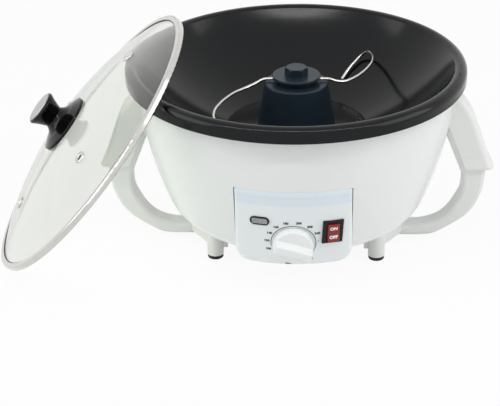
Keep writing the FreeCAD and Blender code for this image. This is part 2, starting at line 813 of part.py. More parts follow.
def cover_lip():
    """Band that swells out softly round the cover's lower end."""
    low = cover_tip[1]
    slope = (cover_tip[0] - cover_waist[0]) / (cover_tip[1] - cover_waist[1])
    wires = []
    levels = ((0, cover_lip_flare), (cover_lip_foot, cover_lip_flare), (cover_lip_height, -seat_gap))
    for rise, flare in levels:
        z = low + rise
        near = cover_inner_x(z)
        far = cover_tip[0] + slope * rise + flare
        side = cover_half_width + flare
        corner = cover_edge_radius + flare
        bend = corner * (1 - math.sqrt(0.5))
        wires.append(Part.Wire([
            Part.makeLine(vec(near, -side, z), vec(far - corner, -side, z)),
            Part.Arc(vec(far - corner, -side, z), vec(far - bend, bend - side, z),
                     vec(far, corner - side, z)).toShape(),
            Part.makeLine(vec(far, corner - side, z), vec(far, side - corner, z)),
            Part.Arc(vec(far, side - corner, z), vec(far - bend, side - bend, z),
                     vec(far - corner, side, z)).toShape(),
            Part.makeLine(vec(far - corner, side, z), vec(near, side, z)),
            Part.makeLine(vec(near, side, z), vec(near, -side, z))]))
    band = Part.makeLoft(wires, True, True)
    rim = [edge for edge in band.Edges if edge.BoundBox.ZMax < low + seat_gap
           and edge.CenterOfMass.x > cover_inner_x(low) + seat_gap]
    return band.makeFillet(cover_lip_edge, rim)


def handle_cover():
    """Hood over the outer side of the right-hand arm, with a lip at its lower end."""
    outline = Outline(cover_inner_x(cover_top[1]), cover_top[1]).line(*cover_top)
    outline.arc(cover_shoulder, cover_waist).line(*cover_tip).line(cover_inner_x(cover_tip[1]), cover_tip[1])
    hood = outline.prism(cover_half_width)
    soft = [edge for edge in long_edges(hood, cover_half_width)
            if edge.CenterOfMass.x > cover_top[0] and edge.BoundBox.ZLength > 1.0
            and edge.CenterOfMass.x > cover_inner_x(edge.CenterOfMass.z) + 1.0]
    hood = join([hood.makeFillet(cover_edge_radius, soft), cover_lip()])
    cavity = handle_outline(loose_gap).prism(handle_half_width + seat_gap)
    return hood.cut(cavity).cut(housing_volume(-seat_gap))


def rubber_foot(x, y):
    pad = cylinder(foot_pad_radius, 0, foot_pad_height, x, y)
    rim = [edge for edge in pad.Edges if edge.CenterOfMass.z < foot_pad_height / 2 and edge.Closed]
    pad = pad.makeFillet(foot_pad_edge, rim)
    peg_top = foot_pad_height + foot_peg_height - foot_peg_gap
    return join([pad, cylinder(foot_peg_radius, foot_pad_height / 2, peg_top, x, y)])


def rubber_feet():
    return group([rubber_foot(x, y) for x, y in foot_places()])


def foot_screws():
    """Screws from inside the shell's bottom down into the foot posts."""
    placed = []
    seat = shell_inside_z(math.hypot(foot_x, foot_y) + screw_head_radius) + seat_gap / 2
    for x, y in foot_places():
        piece = screw(screw_radius, foot_screw_length, screw_head_radius, screw_head_height)
        piece.translate(vec(x, y, seat))
        placed.append(piece)
    return group(placed)


def handle_screws():
    """Screws from inside the shell out into both arms."""
    placed = []
    for z in handle_screw_heights:
        seat = handle_screw_seat(z)
        frame = (vec(seat, 0, z), vec(0, 0, 1), vec(0, 1, 0), vec(-1, 0, 0))
        piece = screw(screw_radius, handle_screw_length, screw_head_radius, screw_head_height)
        piece = on_frame(piece, frame)
        placed += [piece, mirrored(piece)]
    return group(placed)


# --- Pan and heater -----------------------------------------------------------------------------
def bowl_sphere():
    """Centre height and radius of the sphere that the bowl's inside is part of."""
    mouth = shell_top_radius - pan_mouth_inset
    spread = mouth ** 2 - pan_floor_radius ** 2
    centre = (spread / (seat_z - pan_floor_z) + seat_z + pan_floor_z) / 2
    return centre, math.hypot(pan_floor_radius, centre - pan_floor_z)


pan_bowl_centre_z, pan_bowl_radius = bowl_sphere()


def bowl_radius_at(z, extra):
    """Radius of the pan's bowl at a height, on the inside or a wall further out."""
    return math.sqrt((pan_bowl_radius + extra) ** 2 - (pan_bowl_centre_z - z) ** 2)


def pan():
    crest = seat_z + pan_rim_height
    centre = (0, pan_bowl_centre_z)
    roll = (math.sqrt((pan_bowl_radius + pan_inner_roll) ** 2
                      - (pan_bowl_centre_z - crest + pan_inner_roll) ** 2), crest - pan_inner_roll)
    share = pan_bowl_radius / (pan_bowl_radius + pan_inner_roll)
    brink = (roll[0] * share, pan_bowl_centre_z + (roll[1] - pan_bowl_centre_z) * share)
    corner = (pan_rim_radius - pan_outer_roll, crest - pan_outer_roll)
    skirt = seat_z - pan_skirt_drop
    under = pan_floor_z - pan_wall
    outline = Outline(bush_radius + seat_gap, pan_cone_top_z).line(pan_cone_top_radius, pan_cone_top_z)
    outline.line(pan_cone_foot_radius, pan_floor_z).line(bowl_radius_at(pan_floor_z, 0), pan_floor_z)
    outline.arc_about(centre, brink).arc_about(roll, (roll[0], crest))
    outline.line(corner[0], crest).arc_about(corner, (pan_rim_radius, corner[1]))
    outline.line(pan_rim_radius, skirt).line(pan_rim_radius - pan_skirt_thickness, skirt)
    outline.line(pan_rim_radius - pan_skirt_thickness, seat_z).line(bowl_radius_at(seat_z, pan_wall), seat_z)
    outline.arc_about(centre, (bowl_radius_at(under, pan_wall), under))
    outline.line(pan_cone_foot_radius - pan_wall, under)
    outline.line(pan_cone_top_radius - pan_wall, pan_cone_top_z - pan_wall)
    outline.line(bush_radius + seat_gap, pan_cone_top_z - pan_wall)
    bosses = [cylinder(pan_boss_radius, under - pan_boss_depth, under + pan_wall / 2, x, y)
              for x, y in rod_places()]
    bores = [cylinder(rod_radius + screw_gap, 0, pan_floor_z - pan_wall - pan_bore_end, x, y)
             for x, y in rod_places()]
    return cut_all(join([outline.spin()] + bosses), bores)


def heater_z():
    return pan_floor_z - pan_wall - thermal_gap - heater_tube_radius


def heater_leg_places():
    """Where the heater's two ends come straight down."""
    angle = 90 - heater_gap_angle / 2
    x, y = polar(heater_ring_radius, angle)
    dx, dy = polar(heater_bend_radius, angle + 90)
    return [(x + dx, y + dy), (-x - dx, y + dy)]


def heating_element():
    half_gap = heater_gap_angle / 2
    z = heater_z()
    tube = Part.makeTorus(heater_ring_radius, heater_tube_radius, vec(0, 0, z), vec(0, 0, 1), 0, 360,
                          360 - heater_gap_angle)
    tube.rotate(vec(0, 0, 0), vec(0, 0, 1), 90 + half_gap)
    x, y = polar(heater_ring_radius, 90 - half_gap)
    ahead = vec(*polar(1.0, 180 - half_gap), 0)
    bend = Part.makeTorus(heater_bend_radius, heater_tube_radius, vec(0, 0, 0), vec(0, 0, 1), 0, 360, 90)
    corner = vec(x, y, z - heater_bend_radius)
    bend = on_frame(bend, (corner, ahead, vec(0, 0, 1), ahead.cross(vec(0, 0, 1))))
    leg_x, leg_y = heater_leg_places()[0]
    leg = cylinder(heater_tube_radius, heater_leg_end_z, z - heater_bend_radius, leg_x, leg_y)
    return join([tube, bend, leg, mirrored(bend), mirrored(leg)])


def heater_terminals():
    """Ceramic beads and flat tabs at the heater's ends."""
    pieces = []
    for x, y in heater_leg_places():
        low = heater_leg_end_z - terminal_length
        pieces.append(cylinder(terminal_radius, low, heater_leg_end_z, x, y))
        pieces.append(box((x - tab_width / 2, y - tab_thickness / 2, low - tab_length),
                          (x + tab_width / 2, y + tab_thickness / 2, low)))
    return group(pieces)


def clamp_top():
    return heater_z() - heater_tube_radius - seat_gap


def heater_clamps():
    bar = box((clamp_inner, -clamp_width / 2, clamp_top() - clamp_thickness),
              (clamp_outer, clamp_width / 2, clamp_top()))
    bar = bar.cut(cylinder(rod_radius + screw_gap, 0, seat_z, rod_circle))
    return group([turned(bar, angle) for angle in rod_angles])


def tie_rods():
    top = pan_floor_z - pan_wall - 2 * pan_bore_end
    return group([cylinder(rod_radius, rod_end_z, top, x, y) for x, y in rod_places()])


def rod_nuts():
    """Nuts under the clamps, on both sides of the heat shield and under the base plate."""
    bottoms = (clamp_top() - clamp_thickness - nut_height, shield_z + shield_thickness,
               shield_z - nut_height, shell_floor_z - base_plate_thickness - nut_height)
    pieces = []
    for x, y in rod_places():
        for z in bottoms:
            bore = cylinder(rod_radius + screw_gap, z, z + nut_height, x, y)
            pieces.append(hexagon(nut_flats, z, z + nut_height, x, y).cut(bore))
    return group(pieces)


def heat_shield():
    """Thin dish between the heater and the drive."""
    top = shield_z + shield_rim_height
    outline = Outline(shield_hole_radius, shield_z).line(shield_radius - shield_flare, shield_z)
    outline.line(shield_radius, top).line(shield_radius - shield_thickness, top)
    outline.line(shield_radius - shield_flare - shield_thickness, shield_z + shield_thickness)
    outline.line(shield_hole_radius, shield_z + shield_thickness)
    holes = [cylinder(rod_radius + screw_gap, 0, seat_z, x, y) for x, y in rod_places()]
    holes += [cylinder(terminal_radius + shield_leg_gap, 0, seat_z, x, y) for x, y in heater_leg_places()]
    return cut_all(outline.spin(), holes)


def thermal_cutout():
    """Round safety switch under the pan's floor."""
    x, y = polar(cutout_circle, cutout_angle)
    top = pan_floor_z - pan_wall - thermal_gap
    can = join([cylinder(cutout_radius, top - cutout_cap_height, top, x, y),
                cylinder(cutout_neck_radius, top - cutout_height, top, x, y)])
    low = top - cutout_height
    tabs = [box((x + side * cutout_radius / 2 - tab_thickness / 2, y - tab_width / 4, low - tab_length / 2),
                (x + side * cutout_radius / 2 + tab_thickness / 2, y + tab_width / 4, low + 0.2))
            for side in (-1, 1)]
    return join([can] + tabs)


# --- Drive --------------------------------------------------------------------------------------
def motor_ear_places():
    return [(-motor_ear_reach, motor_offset), (motor_ear_reach, motor_offset)]


def motor_case():
    """Gear motor: round can behind the output shaft, two ears and a neck round the shaft."""
    can = cylinder(motor_radius, motor_top_z - motor_height, motor_top_z, 0, motor_offset)
    ears = [cylinder(motor_ear_radius, motor_top_z - motor_ear_thickness, motor_top_z, x, y)
            for x, y in motor_ear_places()]
    bridge = box((-motor_ear_reach, motor_offset - motor_ear_radius, motor_top_z - motor_ear_thickness),
                 (motor_ear_reach, motor_offset + motor_ear_radius, motor_top_z))
    neck = cylinder(motor_neck_radius, motor_top_z - 1, motor_top_z + motor_neck_height)
    bores = [cylinder(output_shaft_radius + running_gap,
                      motor_top_z + motor_neck_height - output_shaft_depth, seat_z)]
    bores += [cylinder(small_screw_radius + screw_gap, 0, seat_z, x, y) for x, y in motor_ear_places()]
    return cut_all(join([can, bridge, neck] + ears), bores)


def motor_output_shaft():
    bottom = motor_top_z + motor_neck_height - output_shaft_depth + loose_gap
    return cylinder(output_shaft_radius, bottom, output_shaft_top_z)


def motor_bracket():
    """Bridge that carries the motor: a top plate, two legs and two feet."""
    top = motor_top_z + bracket_thickness
    plate = box((-bracket_half_length, bracket_front_y, motor_top_z),
                (bracket_half_length, bracket_back_y, top))
    leg = box((bracket_half_length - bracket_thickness, bracket_front_y, shell_floor_z),
              (bracket_half_length, bracket_leg_back_y, top))
    foot = box((bracket_half_length - bracket_thickness, bracket_front_y, shell_floor_z),
               (bracket_half_length + bracket_foot_length, bracket_leg_back_y,
                shell_floor_z + bracket_thickness))
    holes = [cylinder(motor_neck_radius + loose_gap, motor_top_z, top)]
    holes += [cylinder(small_screw_radius + screw_gap, motor_top_z, top, x, y)
              for x, y in motor_ear_places()]
    holes += [cylinder(small_screw_radius + screw_gap, shell_floor_z, shell_floor_z + bracket_thickness, x, y)
              for x, y in bracket_screw_places()]
    return cut_all(join([plate, leg, foot, mirrored(leg), mirrored(foot)]), holes)


def screws_down(places, seat, length):
    """Small screws that stand on a seat and point down."""
    placed = []
    for x, y in places:
        piece = screw(small_screw_radius, length, small_head_radius, small_head_height)
        piece.translate(vec(x, y, seat))
        placed.append(piece)
    return placed


def motor_screws():
    return group(screws_down(motor_ear_places(), motor_top_z + bracket_thickness,
                             bracket_thickness + 4 * motor_ear_thickness))


def bracket_screws():
    return group(screws_down(bracket_screw_places(), shell_floor_z + bracket_thickness,
                             bracket_thickness + base_plate_thickness + 0.5))


def shaft_coupling():
    """Sleeve that joins the motor's shaft to the drive shaft."""
    middle = output_shaft_top_z + loose_gap / 2
    sleeve = cylinder(coupling_radius, coupling_bottom_z, coupling_top_z)
    bores = [cylinder(output_shaft_radius + screw_gap, coupling_bottom_z, middle),
             cylinder(drive_shaft_radius + screw_gap, middle, coupling_top_z)]
    return cut_all(sleeve, bores)


def drive_shaft():
    return cylinder(drive_shaft_radius, output_shaft_top_z + loose_gap, drive_shaft_top_z)


def shaft_bush():
    """Flanged bush in the top of the pan's cone."""
    flange_top = pan_cone_top_z + bush_flange_thickness
    body = join([cylinder(bush_radius, bush_bottom_z, flange_top),
                 cylinder(bush_flange_radius, pan_cone_top_z, flange_top)])
    return body.cut(cylinder(drive_shaft_radius + running_gap, 0, seat_z))


def bush_nut():
    top = pan_cone_top_z - pan_wall
    return hexagon(bush_nut_flats, top - bush_nut_height, top).cut(
        cylinder(bush_radius + screw_gap, 0, seat_z))


def thrust_washer():
    bottom = pan_cone_top_z + bush_flange_thickness
    return ring(washer_radius, drive_shaft_radius + running_gap, bottom, bottom + washer_thickness)


# --- Stirrer ------------------------------------------------------------------------------------
def hub_top_z():
    return hub_shoulder_z + hub_neck_height


def wire_start_z():
    return hub_shoulder_z + wire_height


def wire_tunnel():
    """Hole through the hub's neck for one wire."""
    return Part.makeCylinder(wire_radius + screw_gap, hub_neck_radius, vec(wire_anchor, 0, wire_start_z()),
                             vec(1, 0, 0))


def stirrer_hub():
    """Hollow cone over the pan's centre, with a boss on the drive shaft and a neck for the wires."""
    bottom = pan_floor_z + hub_skirt_clearance
    boss_bottom = pan_cone_top_z + bush_flange_thickness + washer_thickness + seat_gap
    ceiling = hub_shoulder_z - hub_wall
    bore = drive_shaft_radius + screw_gap
    round_off = (hub_shoulder_radius - hub_edge_radius, hub_shoulder_z - hub_edge_radius)
    outline = Outline(bore, hub_top_z()).line(hub_neck_radius, hub_top_z())
    outline.line(hub_neck_radius, hub_shoulder_z).line(round_off[0], hub_shoulder_z)
    outline.arc_about(round_off, (hub_shoulder_radius, round_off[1]))
    outline.line(hub_skirt_radius, bottom).line(hub_skirt_radius - hub_wall, bottom)
    outline.line(hub_shoulder_radius - hub_wall, ceiling).line(hub_boss_radius, ceiling)
    outline.line(hub_boss_radius, boss_bottom).line(bore, boss_bottom)
    return cut_all(outline.spin(), [wire_tunnel(), turned(wire_tunnel(), 180)])


def stirrer_plate():
    top = hub_top_z() + plate_thickness
    plate = cylinder(plate_radius, hub_top_z(), top)
    rim = [edge for edge in plate.Edges if edge.Closed and edge.CenterOfMass.z > top - 0.1]
    return plate.makeFillet(1.0, rim).cut(cylinder(drive_shaft_radius + screw_gap, 0, 2 * seat_z))


def cap_nut():
    """Hexagon nut with a closed, chamfered top."""
    bottom = hub_top_z() + plate_thickness
    top = bottom + cap_nut_height
    nut = hexagon(cap_nut_flats, bottom, top)
    corner = cap_nut_flats / math.sqrt(3)
    dome = Part.makeCone(corner + cap_nut_height, corner - 1.5, cap_nut_height + 1.5, vec(0, 0, bottom - 1.5))
    return nut.common(dome).cut(cylinder(drive_shaft_radius + screw_gap, 0, drive_shaft_top_z + 0.3))


def stirring_wire():
    """Right-hand stirring wire, from the hub out to the bowl's wall and down along it."""
    route = [vec(wire_anchor + wire_anchor_gap, 0, wire_start_z()),
             vec(hub_neck_radius + wire_straight, 0, wire_start_z())]
    for out, angle, rise in wire_bends:
        z = pan_floor_z + rise * (hub_shoulder_z - pan_floor_z)
        radius = hub_shoulder_radius + out * (bowl_radius_at(z, 0) - hub_shoulder_radius)
        route.append(vec(*polar(radius, angle), z))
    return bent_tube(route, wire_radius)


# --- Controls -----------------------------------------------------------------------------------
def thermostat_body():
    """Thermostat behind the dial: mounting plate, box, neck and terminals."""
    back = -dial_pad_back - thermostat_plate - thermostat_depth
    lug = thermostat_half_width + thermostat_lug
    plate = box((-lug, -thermostat_half_height, -dial_pad_back - thermostat_plate),
                (lug, thermostat_half_height, -dial_pad_back))
    body = box((-thermostat_half_width, -thermostat_half_height, back),
               (thermostat_half_width, thermostat_half_height, -dial_pad_back - thermostat_plate))
    neck = cylinder(dial_hole_radius - seat_gap, -dial_pad_back - thermostat_plate, -thermostat_neck_depth)
    low = thermostat_tab_inset - thermostat_half_height
    tabs = [box((x - tab_width / 2, low, back - tab_length), (x + tab_width / 2, low + tab_thickness, back))
            for x in (-thermostat_tab_x, thermostat_tab_x)]
    bores = [cylinder(spindle_radius + running_gap, -spindle_depth - loose_gap, 0)]
    bores += [cylinder(small_screw_radius + screw_gap, back / 2, 0, x)
              for x in (-thermostat_screw_offset, thermostat_screw_offset)]
    return on_frame(cut_all(join([plate, body, neck] + tabs), bores), face_frame(0, dial_z))


def thermostat_screws():
    """Two screws through the panel, hidden under the knob."""
    seat = -small_head_height - knob_gap
    pieces = screws_down([(-thermostat_screw_offset, 0), (thermostat_screw_offset, 0)], seat,
                         dial_pad_back + thermostat_plate)
    return group([on_frame(piece, face_frame(0, dial_z)) for piece in pieces])


def thermostat_spindle():
    return on_frame(cylinder(spindle_radius, -spindle_depth, spindle_top), face_frame(0, dial_z))


def temperature_knob():
    """Round knob with a raised bar grip across it."""
    skirt = cylinder(knob_radius, knob_gap, knob_disc_height)
    rim = [edge for edge in skirt.Edges if edge.Closed and edge.CenterOfMass.z > knob_disc_height - 0.1]
    skirt = skirt.makeFillet(knob_edge_radius, rim)
    grip = box((-knob_radius, -knob_grip_half_width, knob_disc_height - 2),
               (knob_radius, knob_grip_half_width, knob_grip_height))
    grip = grip.common(cylinder(knob_radius - knob_grip_inset, 0, knob_grip_height))
    grip = grip.makeFillet(knob_edge_radius, [edge for edge in grip.Edges
                                              if edge.CenterOfMass.z > knob_grip_height - 0.1])
    knob = join([skirt, grip]).cut(cylinder(spindle_radius + screw_gap, 0, spindle_top + knob_bore_end))
    return on_frame(turned(knob, knob_grip_angle), face_frame(0, dial_z))


def thermostat_bulb():
    """Sensor bulb under the pan, with its thin tube from the thermostat over the heat shield's rim."""
    z = pan_bowl_centre_z - math.sqrt((pan_bowl_radius + pan_wall) ** 2 - bulb_distance ** 2)
    z -= thermal_gap + bulb_drop
    bulb = Part.makeCylinder(bulb_radius, bulb_length, vec(-bulb_length / 2, -bulb_distance, z), vec(1, 0, 0))
    origin, right, up, out = face_frame(0, dial_z)
    leave = origin + up * thermostat_half_height - out * capillary_outlet
    over = shield_z + shield_rim_height + capillary_margin
    past = shield_radius + capillary_margin
    heights = (over - capillary_rise, over - capillary_margin / 2, over + capillary_margin / 2, z, z)
    depths = (past + capillary_radius, past - capillary_margin / 2, past - 3 * capillary_margin,
              bulb_distance + 2 * capillary_margin, bulb_distance)
    route = [leave, leave + up * capillary_rise]
    route += [vec(x, -depth, height) for x, depth, height in zip(capillary_bends_x, depths, heights)]
    route.append(vec(bulb_length / 2 - capillary_lap, -bulb_distance, z))
    return join([bulb, bent_tube(route, capillary_radius)])


def rocker_cavity():
    """Room for the rocker in the switch, and the holes for its pin."""
    wide = rocker_half_width + rocker_side_gap
    tall = rocker_half_height + rocker_end_gap
    floor = rocker_pivot - rocker_keel - rocker_floor_gap
    room = box((-wide, -tall, floor), (wide, tall, 2 * rocker_rise))
    pin_end = rocker_half_width + rocker_pin_reach + rocker_pin_gap
    pin = Part.makeCylinder(rocker_pin_radius + running_gap, 2 * pin_end, vec(-pin_end, 0, rocker_pivot),
                            vec(1, 0, 0))
    return join([room, pin])


def switch_housing():
    wide, tall = switch_body_size()
    bezel = box((-switch_half_width, -switch_half_height, -switch_sink + seat_gap),
                (switch_half_width, switch_half_height, switch_bezel_height))
    bezel = bezel.makeFillet(switch_bezel_edge, [edge for edge in bezel.Edges
                                                 if edge.CenterOfMass.z > switch_bezel_height - 0.01])
    body = box((-wide, -tall, -switch_depth), (wide, tall, 0))
    tabs = [box((-tab_thickness / 2, y - tab_width / 2, -switch_depth - tab_length),
                (tab_thickness / 2, y + tab_width / 2, -switch_depth)) for y in (-switch_tab_y, switch_tab_y)]
    return on_frame(join([bezel, body] + tabs).cut(rocker_cavity()), face_frame(switch_azimuth, switch_z))


def switch_rocker():
    """Rocker on its pin, with the upper end pressed in."""
    side = rocker_half_height + rocker_shoulder
    keel = rocker_keel_share * rocker_half_height
    outline = Outline(-rocker_half_height, rocker_rise).line(0, rocker_valley)
    outline.line(rocker_half_height, rocker_rise).line(side, 0)
    outline.line(keel, -rocker_keel).line(-keel, -rocker_keel).line(-side, 0)
    body = outline.prism(rocker_half_width)
    pin = Part.makeCylinder(rocker_pin_radius, 2 * (rocker_half_width + rocker_pin_reach),
                            vec(0, -rocker_half_width - rocker_pin_reach, 0), vec(0, 1, 0))
    rocker = join([body, pin])
    rocker.rotate(vec(0, 0, 0), vec(0, 0, 1), 90)
    rocker.rotate(vec(0, 0, 0), vec(1, 0, 0), -rocker_tilt)
    rocker.translate(vec(0, 0, rocker_pivot))
    return on_frame(rocker, face_frame(switch_azimuth, switch_z))


def lamp_bezel():
    """Dark oval rim with a collar through the panel."""
    flange = slot(lamp_length, lamp_width, -lamp_sink + seat_gap, lamp_rim_height)
    collar = slot(lamp_length - lamp_rim, lamp_width - lamp_rim, -lamp_collar_depth, 0)
    hole = slot(lamp_length - 2 * lamp_rim, lamp_width - 2 * lamp_rim, -lamp_collar_depth, lamp_rim_height)
    return on_frame(join([flange, collar]).cut(hole), face_frame(lamp_azimuth, lamp_z))


def lamp_lens():
    gap = lamp_rim + seat_gap / 2
    lens = slot(lamp_length - 2 * gap, lamp_width - 2 * gap, -lamp_lens_depth, lamp_lens_height)
    rim = [edge for edge in lens.Edges if edge.CenterOfMass.z > lamp_lens_height - 0.01]
    return on_frame(lens.makeFillet(lamp_lens_edge, rim), face_frame(lamp_azimuth, lamp_z))


def neon_lamp():
    """Small glow lamp behind the lens, in a holder that closes the collar."""
    gap = lamp_rim + seat_gap / 2
    floor = -lamp_collar_depth + neon_holder_depth
    holder = slot(lamp_length - 2 * gap, lamp_width - 2 * gap, -lamp_collar_depth - neon_holder_depth, floor)
    lip = slot(lamp_length, lamp_width, -lamp_collar_depth - 2 * neon_holder_depth,
               -lamp_collar_depth - seat_gap / 2)
    bulb_z = floor + neon_holder_depth / 3
    bulb = Part.makeCylinder(neon_radius, neon_length, vec(-neon_length / 2, 0, bulb_z), vec(1, 0, 0))
    stem = cylinder(neon_stem_radius, -lamp_collar_depth, bulb_z)
    return on_frame(join([holder, lip, stem, bulb]), face_frame(lamp_azimuth, lamp_z))


# --- Cord gland and terminal block --------------------------------------------------------------
def gland_nut_top():
    return -shell_wall - gland_curve_gap


def cord_gland():
    """Gland for the mains cord at the back of the shell."""
    low = gland_nut_top() - gland_nut_height - gland_tail
    body = join([cylinder(gland_flange_radius, 0, gland_flange_thickness),
                 cylinder(gland_neck_radius, low, gland_flange_thickness + gland_tail)])
    return on_frame(body.cut(cylinder(gland_bore_radius, 2 * low, -2 * low)), gland_frame())


def gland_nut():
    top = gland_nut_top()
    nut = hexagon(gland_nut_flats, top - gland_nut_height, top)
    return on_frame(nut.cut(cylinder(gland_neck_radius + screw_gap, 2 * top - gland_nut_height, 0)),
                    gland_frame())


def terminal_screw_places():
    reach = terminal_block_length / 2 - terminal_screw_margin
    return [(-reach, terminal_block_y), (reach, terminal_block_y)]


def terminal_block():
    """Block on the base plate where the cord's cores are clamped."""
    top = shell_floor_z + terminal_block_height
    half = terminal_block_width / 2
    block = box((-terminal_block_length / 2, terminal_block_y - half, shell_floor_z),
                (terminal_block_length / 2, terminal_block_y + half, top))
    holes = [cylinder(small_screw_radius + screw_gap, shell_floor_z, top, x, y)
             for x, y in terminal_screw_places()]
    pitch = terminal_block_length / (terminal_block_poles + 1)
    for k in range(terminal_block_poles):
        x = pitch * (k - (terminal_block_poles - 1) / 2)
        start = vec(x, terminal_block_y - half, shell_floor_z + terminal_block_height / 2)
        holes.append(Part.makeCylinder(terminal_bore_radius, terminal_block_width, start, vec(0, 1, 0)))
    return cut_all(block, holes)


def terminal_screws():
    return group(screws_down(terminal_screw_places(), shell_floor_z + terminal_block_height,
                             terminal_block_height + base_plate_thickness))


# --- Lid ----------------------------------------------------------------------------------------
def lid_frame():
    """Where the lid leans: its edge on the floor, the inside of its dome against the pan's rim."""
    lean = math.radians(lid_lean)
    heading = math.radians(lid_heading)
    height = (lid_radius - lid_edge_radius) * math.cos(lean) + lid_edge_radius
    height -= (lid_band_bottom + lid_edge_radius) * math.sin(lean)
    drop = dome_radius() - lid_dome_height
    room = dome_radius() - lid_glass_thickness - lean_gap - pan_outer_roll
    corner_z = seat_z + pan_rim_height - pan_outer_roll
    below = corner_z - (height - drop * math.sin(lean))
    distance = pan_rim_radius - pan_outer_roll - math.sqrt(room ** 2 - below ** 2) + drop * math.cos(lean)
    away = vec(math.cos(heading), math.sin(heading), 0)
    out = away * math.cos(lean) + vec(0, 0, math.sin(lean))
    up = vec(0, 0, math.cos(lean)) - away * math.sin(lean)
    return away * distance + vec(0, 0, height), up, out.cross(up), out


def glass_edge_z():
    """Top of the glass under the band's upper lip."""
    return lid_band_top - lid_band_wall - seat_gap


def dome_radius():
    """Radius of the sphere of the lid's outer face."""
    reach = lid_radius - lid_band_lip
    rise = lid_dome_height - glass_edge_z()
    return (reach ** 2 + rise ** 2) / (2 * rise)


def vent_frames():
    """Frames on the dome's outer face, one for each vent."""
    sphere = dome_radius()
    tilt = math.asin(lid_vent_circle / sphere)
    centre_z = lid_dome_height - sphere
    frames = []
    for k in range(lid_vent_count):
        turn = math.radians(lid_vent_first + 360 * k / lid_vent_count)
        out = vec(math.sin(tilt) * math.cos(turn), math.sin(tilt) * math.sin(turn), math.cos(tilt))
        side = vec(-math.sin(turn), math.cos(turn), 0)
        frames.append((out * sphere + vec(0, 0, centre_z), side, out.cross(side), out))
    return frames


def lid_band():
    """Rolled steel channel round the glass."""
    inner = lid_radius - lid_band_lip
    wall = lid_radius - lid_band_wall
    round_off = lid_edge_radius
    outline = Outline(inner, lid_band_bottom).line(lid_radius - round_off, lid_band_bottom)
    outline.arc_about((lid_radius - round_off, lid_band_bottom + round_off),
                      (lid_radius, lid_band_bottom + round_off))
    outline.line(lid_radius, lid_band_top - round_off)
    outline.arc_about((lid_radius - round_off, lid_band_top - round_off),
                      (lid_radius - round_off, lid_band_top))
    outline.line(inner, lid_band_top).line(inner, lid_band_top - lid_band_wall)
    outline.line(wall, lid_band_top - lid_band_wall).line(wall, lid_band_bottom + lid_hem)
    outline.line(inner, lid_band_bottom + lid_hem)
    return on_frame(outline.spin(), lid_frame())


def lid_glass():
    """Domed glass with a flat edge, a centre hole and vent holes."""
    sphere = dome_radius()
    centre = (0, lid_dome_height - sphere)
    inner = lid_radius - lid_band_lip
    edge = lid_radius - lid_band_wall - seat_gap
    top = glass_edge_z()
    bottom = top - lid_glass_thickness
    under = sphere - lid_glass_thickness
    under_reach = math.sqrt(under ** 2 - (bottom - centre[1]) ** 2)
    outline = Outline(0, lid_dome_height).arc_about(centre, (inner, top)).line(edge, top)
    outline.line(edge, bottom).line(under_reach, bottom)
    outline.arc_about(centre, (0, lid_dome_height - lid_glass_thickness))
    holes = [cylinder(lid_screw_radius + lid_hole_gap, 0, 2 * lid_dome_height)]
    holes += [on_frame(cylinder(vent_hole_radius, -4 * lid_glass_thickness, lid_glass_thickness), frame)
              for frame in vent_frames()]
    return on_frame(cut_all(outline.spin(), holes), lid_frame())


def vent_eyelets():
    """Steel eyelets that line the vent holes, rolled over on both faces."""
    outside = ring(vent_flange_radius, vent_bore_radius, seat_gap, vent_flange_thickness + seat_gap)
    low = -lid_glass_thickness - seat_gap / 2
    roll = vent_flange_thickness / 2
    inside = ring(vent_flange_radius - vent_roll_inset, vent_bore_radius, low - roll, low)
    neck = ring(vent_hole_radius - seat_gap, vent_bore_radius, low - roll / 2, seat_gap * 2)
    eyelet = join([outside, neck, inside])
    return group([on_frame(on_frame(eyelet, frame), lid_frame()) for frame in vent_frames()])


def lid_knob():
    """Waisted knob that stands on the dome."""
    base = lid_dome_height
    edge_z = base + lid_knob_base_height - lid_knob_base_edge
    waist_z = base + lid_knob_waist_height
    top = base + lid_knob_height
    flare_z = top - lid_knob_top_depth
    sphere = dome_radius() + seat_gap
    centre_z = base + seat_gap - sphere
    under = centre_z + math.sqrt(sphere ** 2 - lid_knob_base_radius ** 2)
    round_off = (lid_knob_base_radius - lid_knob_base_edge, edge_z)
    outline = Outline(0, base + seat_gap).arc_about((0, centre_z), (lid_knob_base_radius, under))
    outline.line(lid_knob_base_radius, edge_z)
    outline.arc_about(round_off, (round_off[0], edge_z + lid_knob_base_edge))
    outline.line(lid_knob_saucer_radius, base + lid_knob_saucer_rise)
    outline.arc((lid_knob_foot_radius, base + lid_knob_foot_rise), (lid_knob_waist_radius, waist_z))
    outline.arc((lid_knob_waist_radius + lid_knob_neck_swell, (waist_z + flare_z) / 2),
                (lid_knob_top_radius, flare_z))
    outline.arc((lid_knob_top_radius + lid_knob_top_bulge, (flare_z + top) / 2),
                (lid_knob_top_radius - lid_knob_top_edge, top))
    outline.line(0, top)
    recess = cylinder(lid_knob_disc_radius + seat_gap, top - lid_knob_disc_depth, 2 * top)
    bore = cylinder(lid_screw_radius + screw_gap, 0, base + lid_screw_depth)
    return on_frame(outline.spin().cut(recess).cut(bore), lid_frame())


def lid_knob_disc():
    """Silver disc let into the knob's top."""
    bottom = lid_dome_height + lid_knob_height - lid_knob_disc_depth
    top = bottom + lid_knob_disc_depth + lid_knob_disc_height
    disc = cylinder(lid_knob_disc_radius, bottom, top)
    rim = [edge for edge in disc.Edges if edge.Closed and edge.CenterOfMass.z > top - 0.1]
    return on_frame(disc.makeFillet(lid_knob_disc_edge, rim), lid_frame())


def washer_top():
    """Height at which the soft washer meets the underside of the dome."""
    sphere = dome_radius() - lid_glass_thickness
    centre_z = lid_dome_height - dome_radius()
    return centre_z + math.sqrt(sphere ** 2 - lid_washer_radius ** 2) - seat_gap / 2


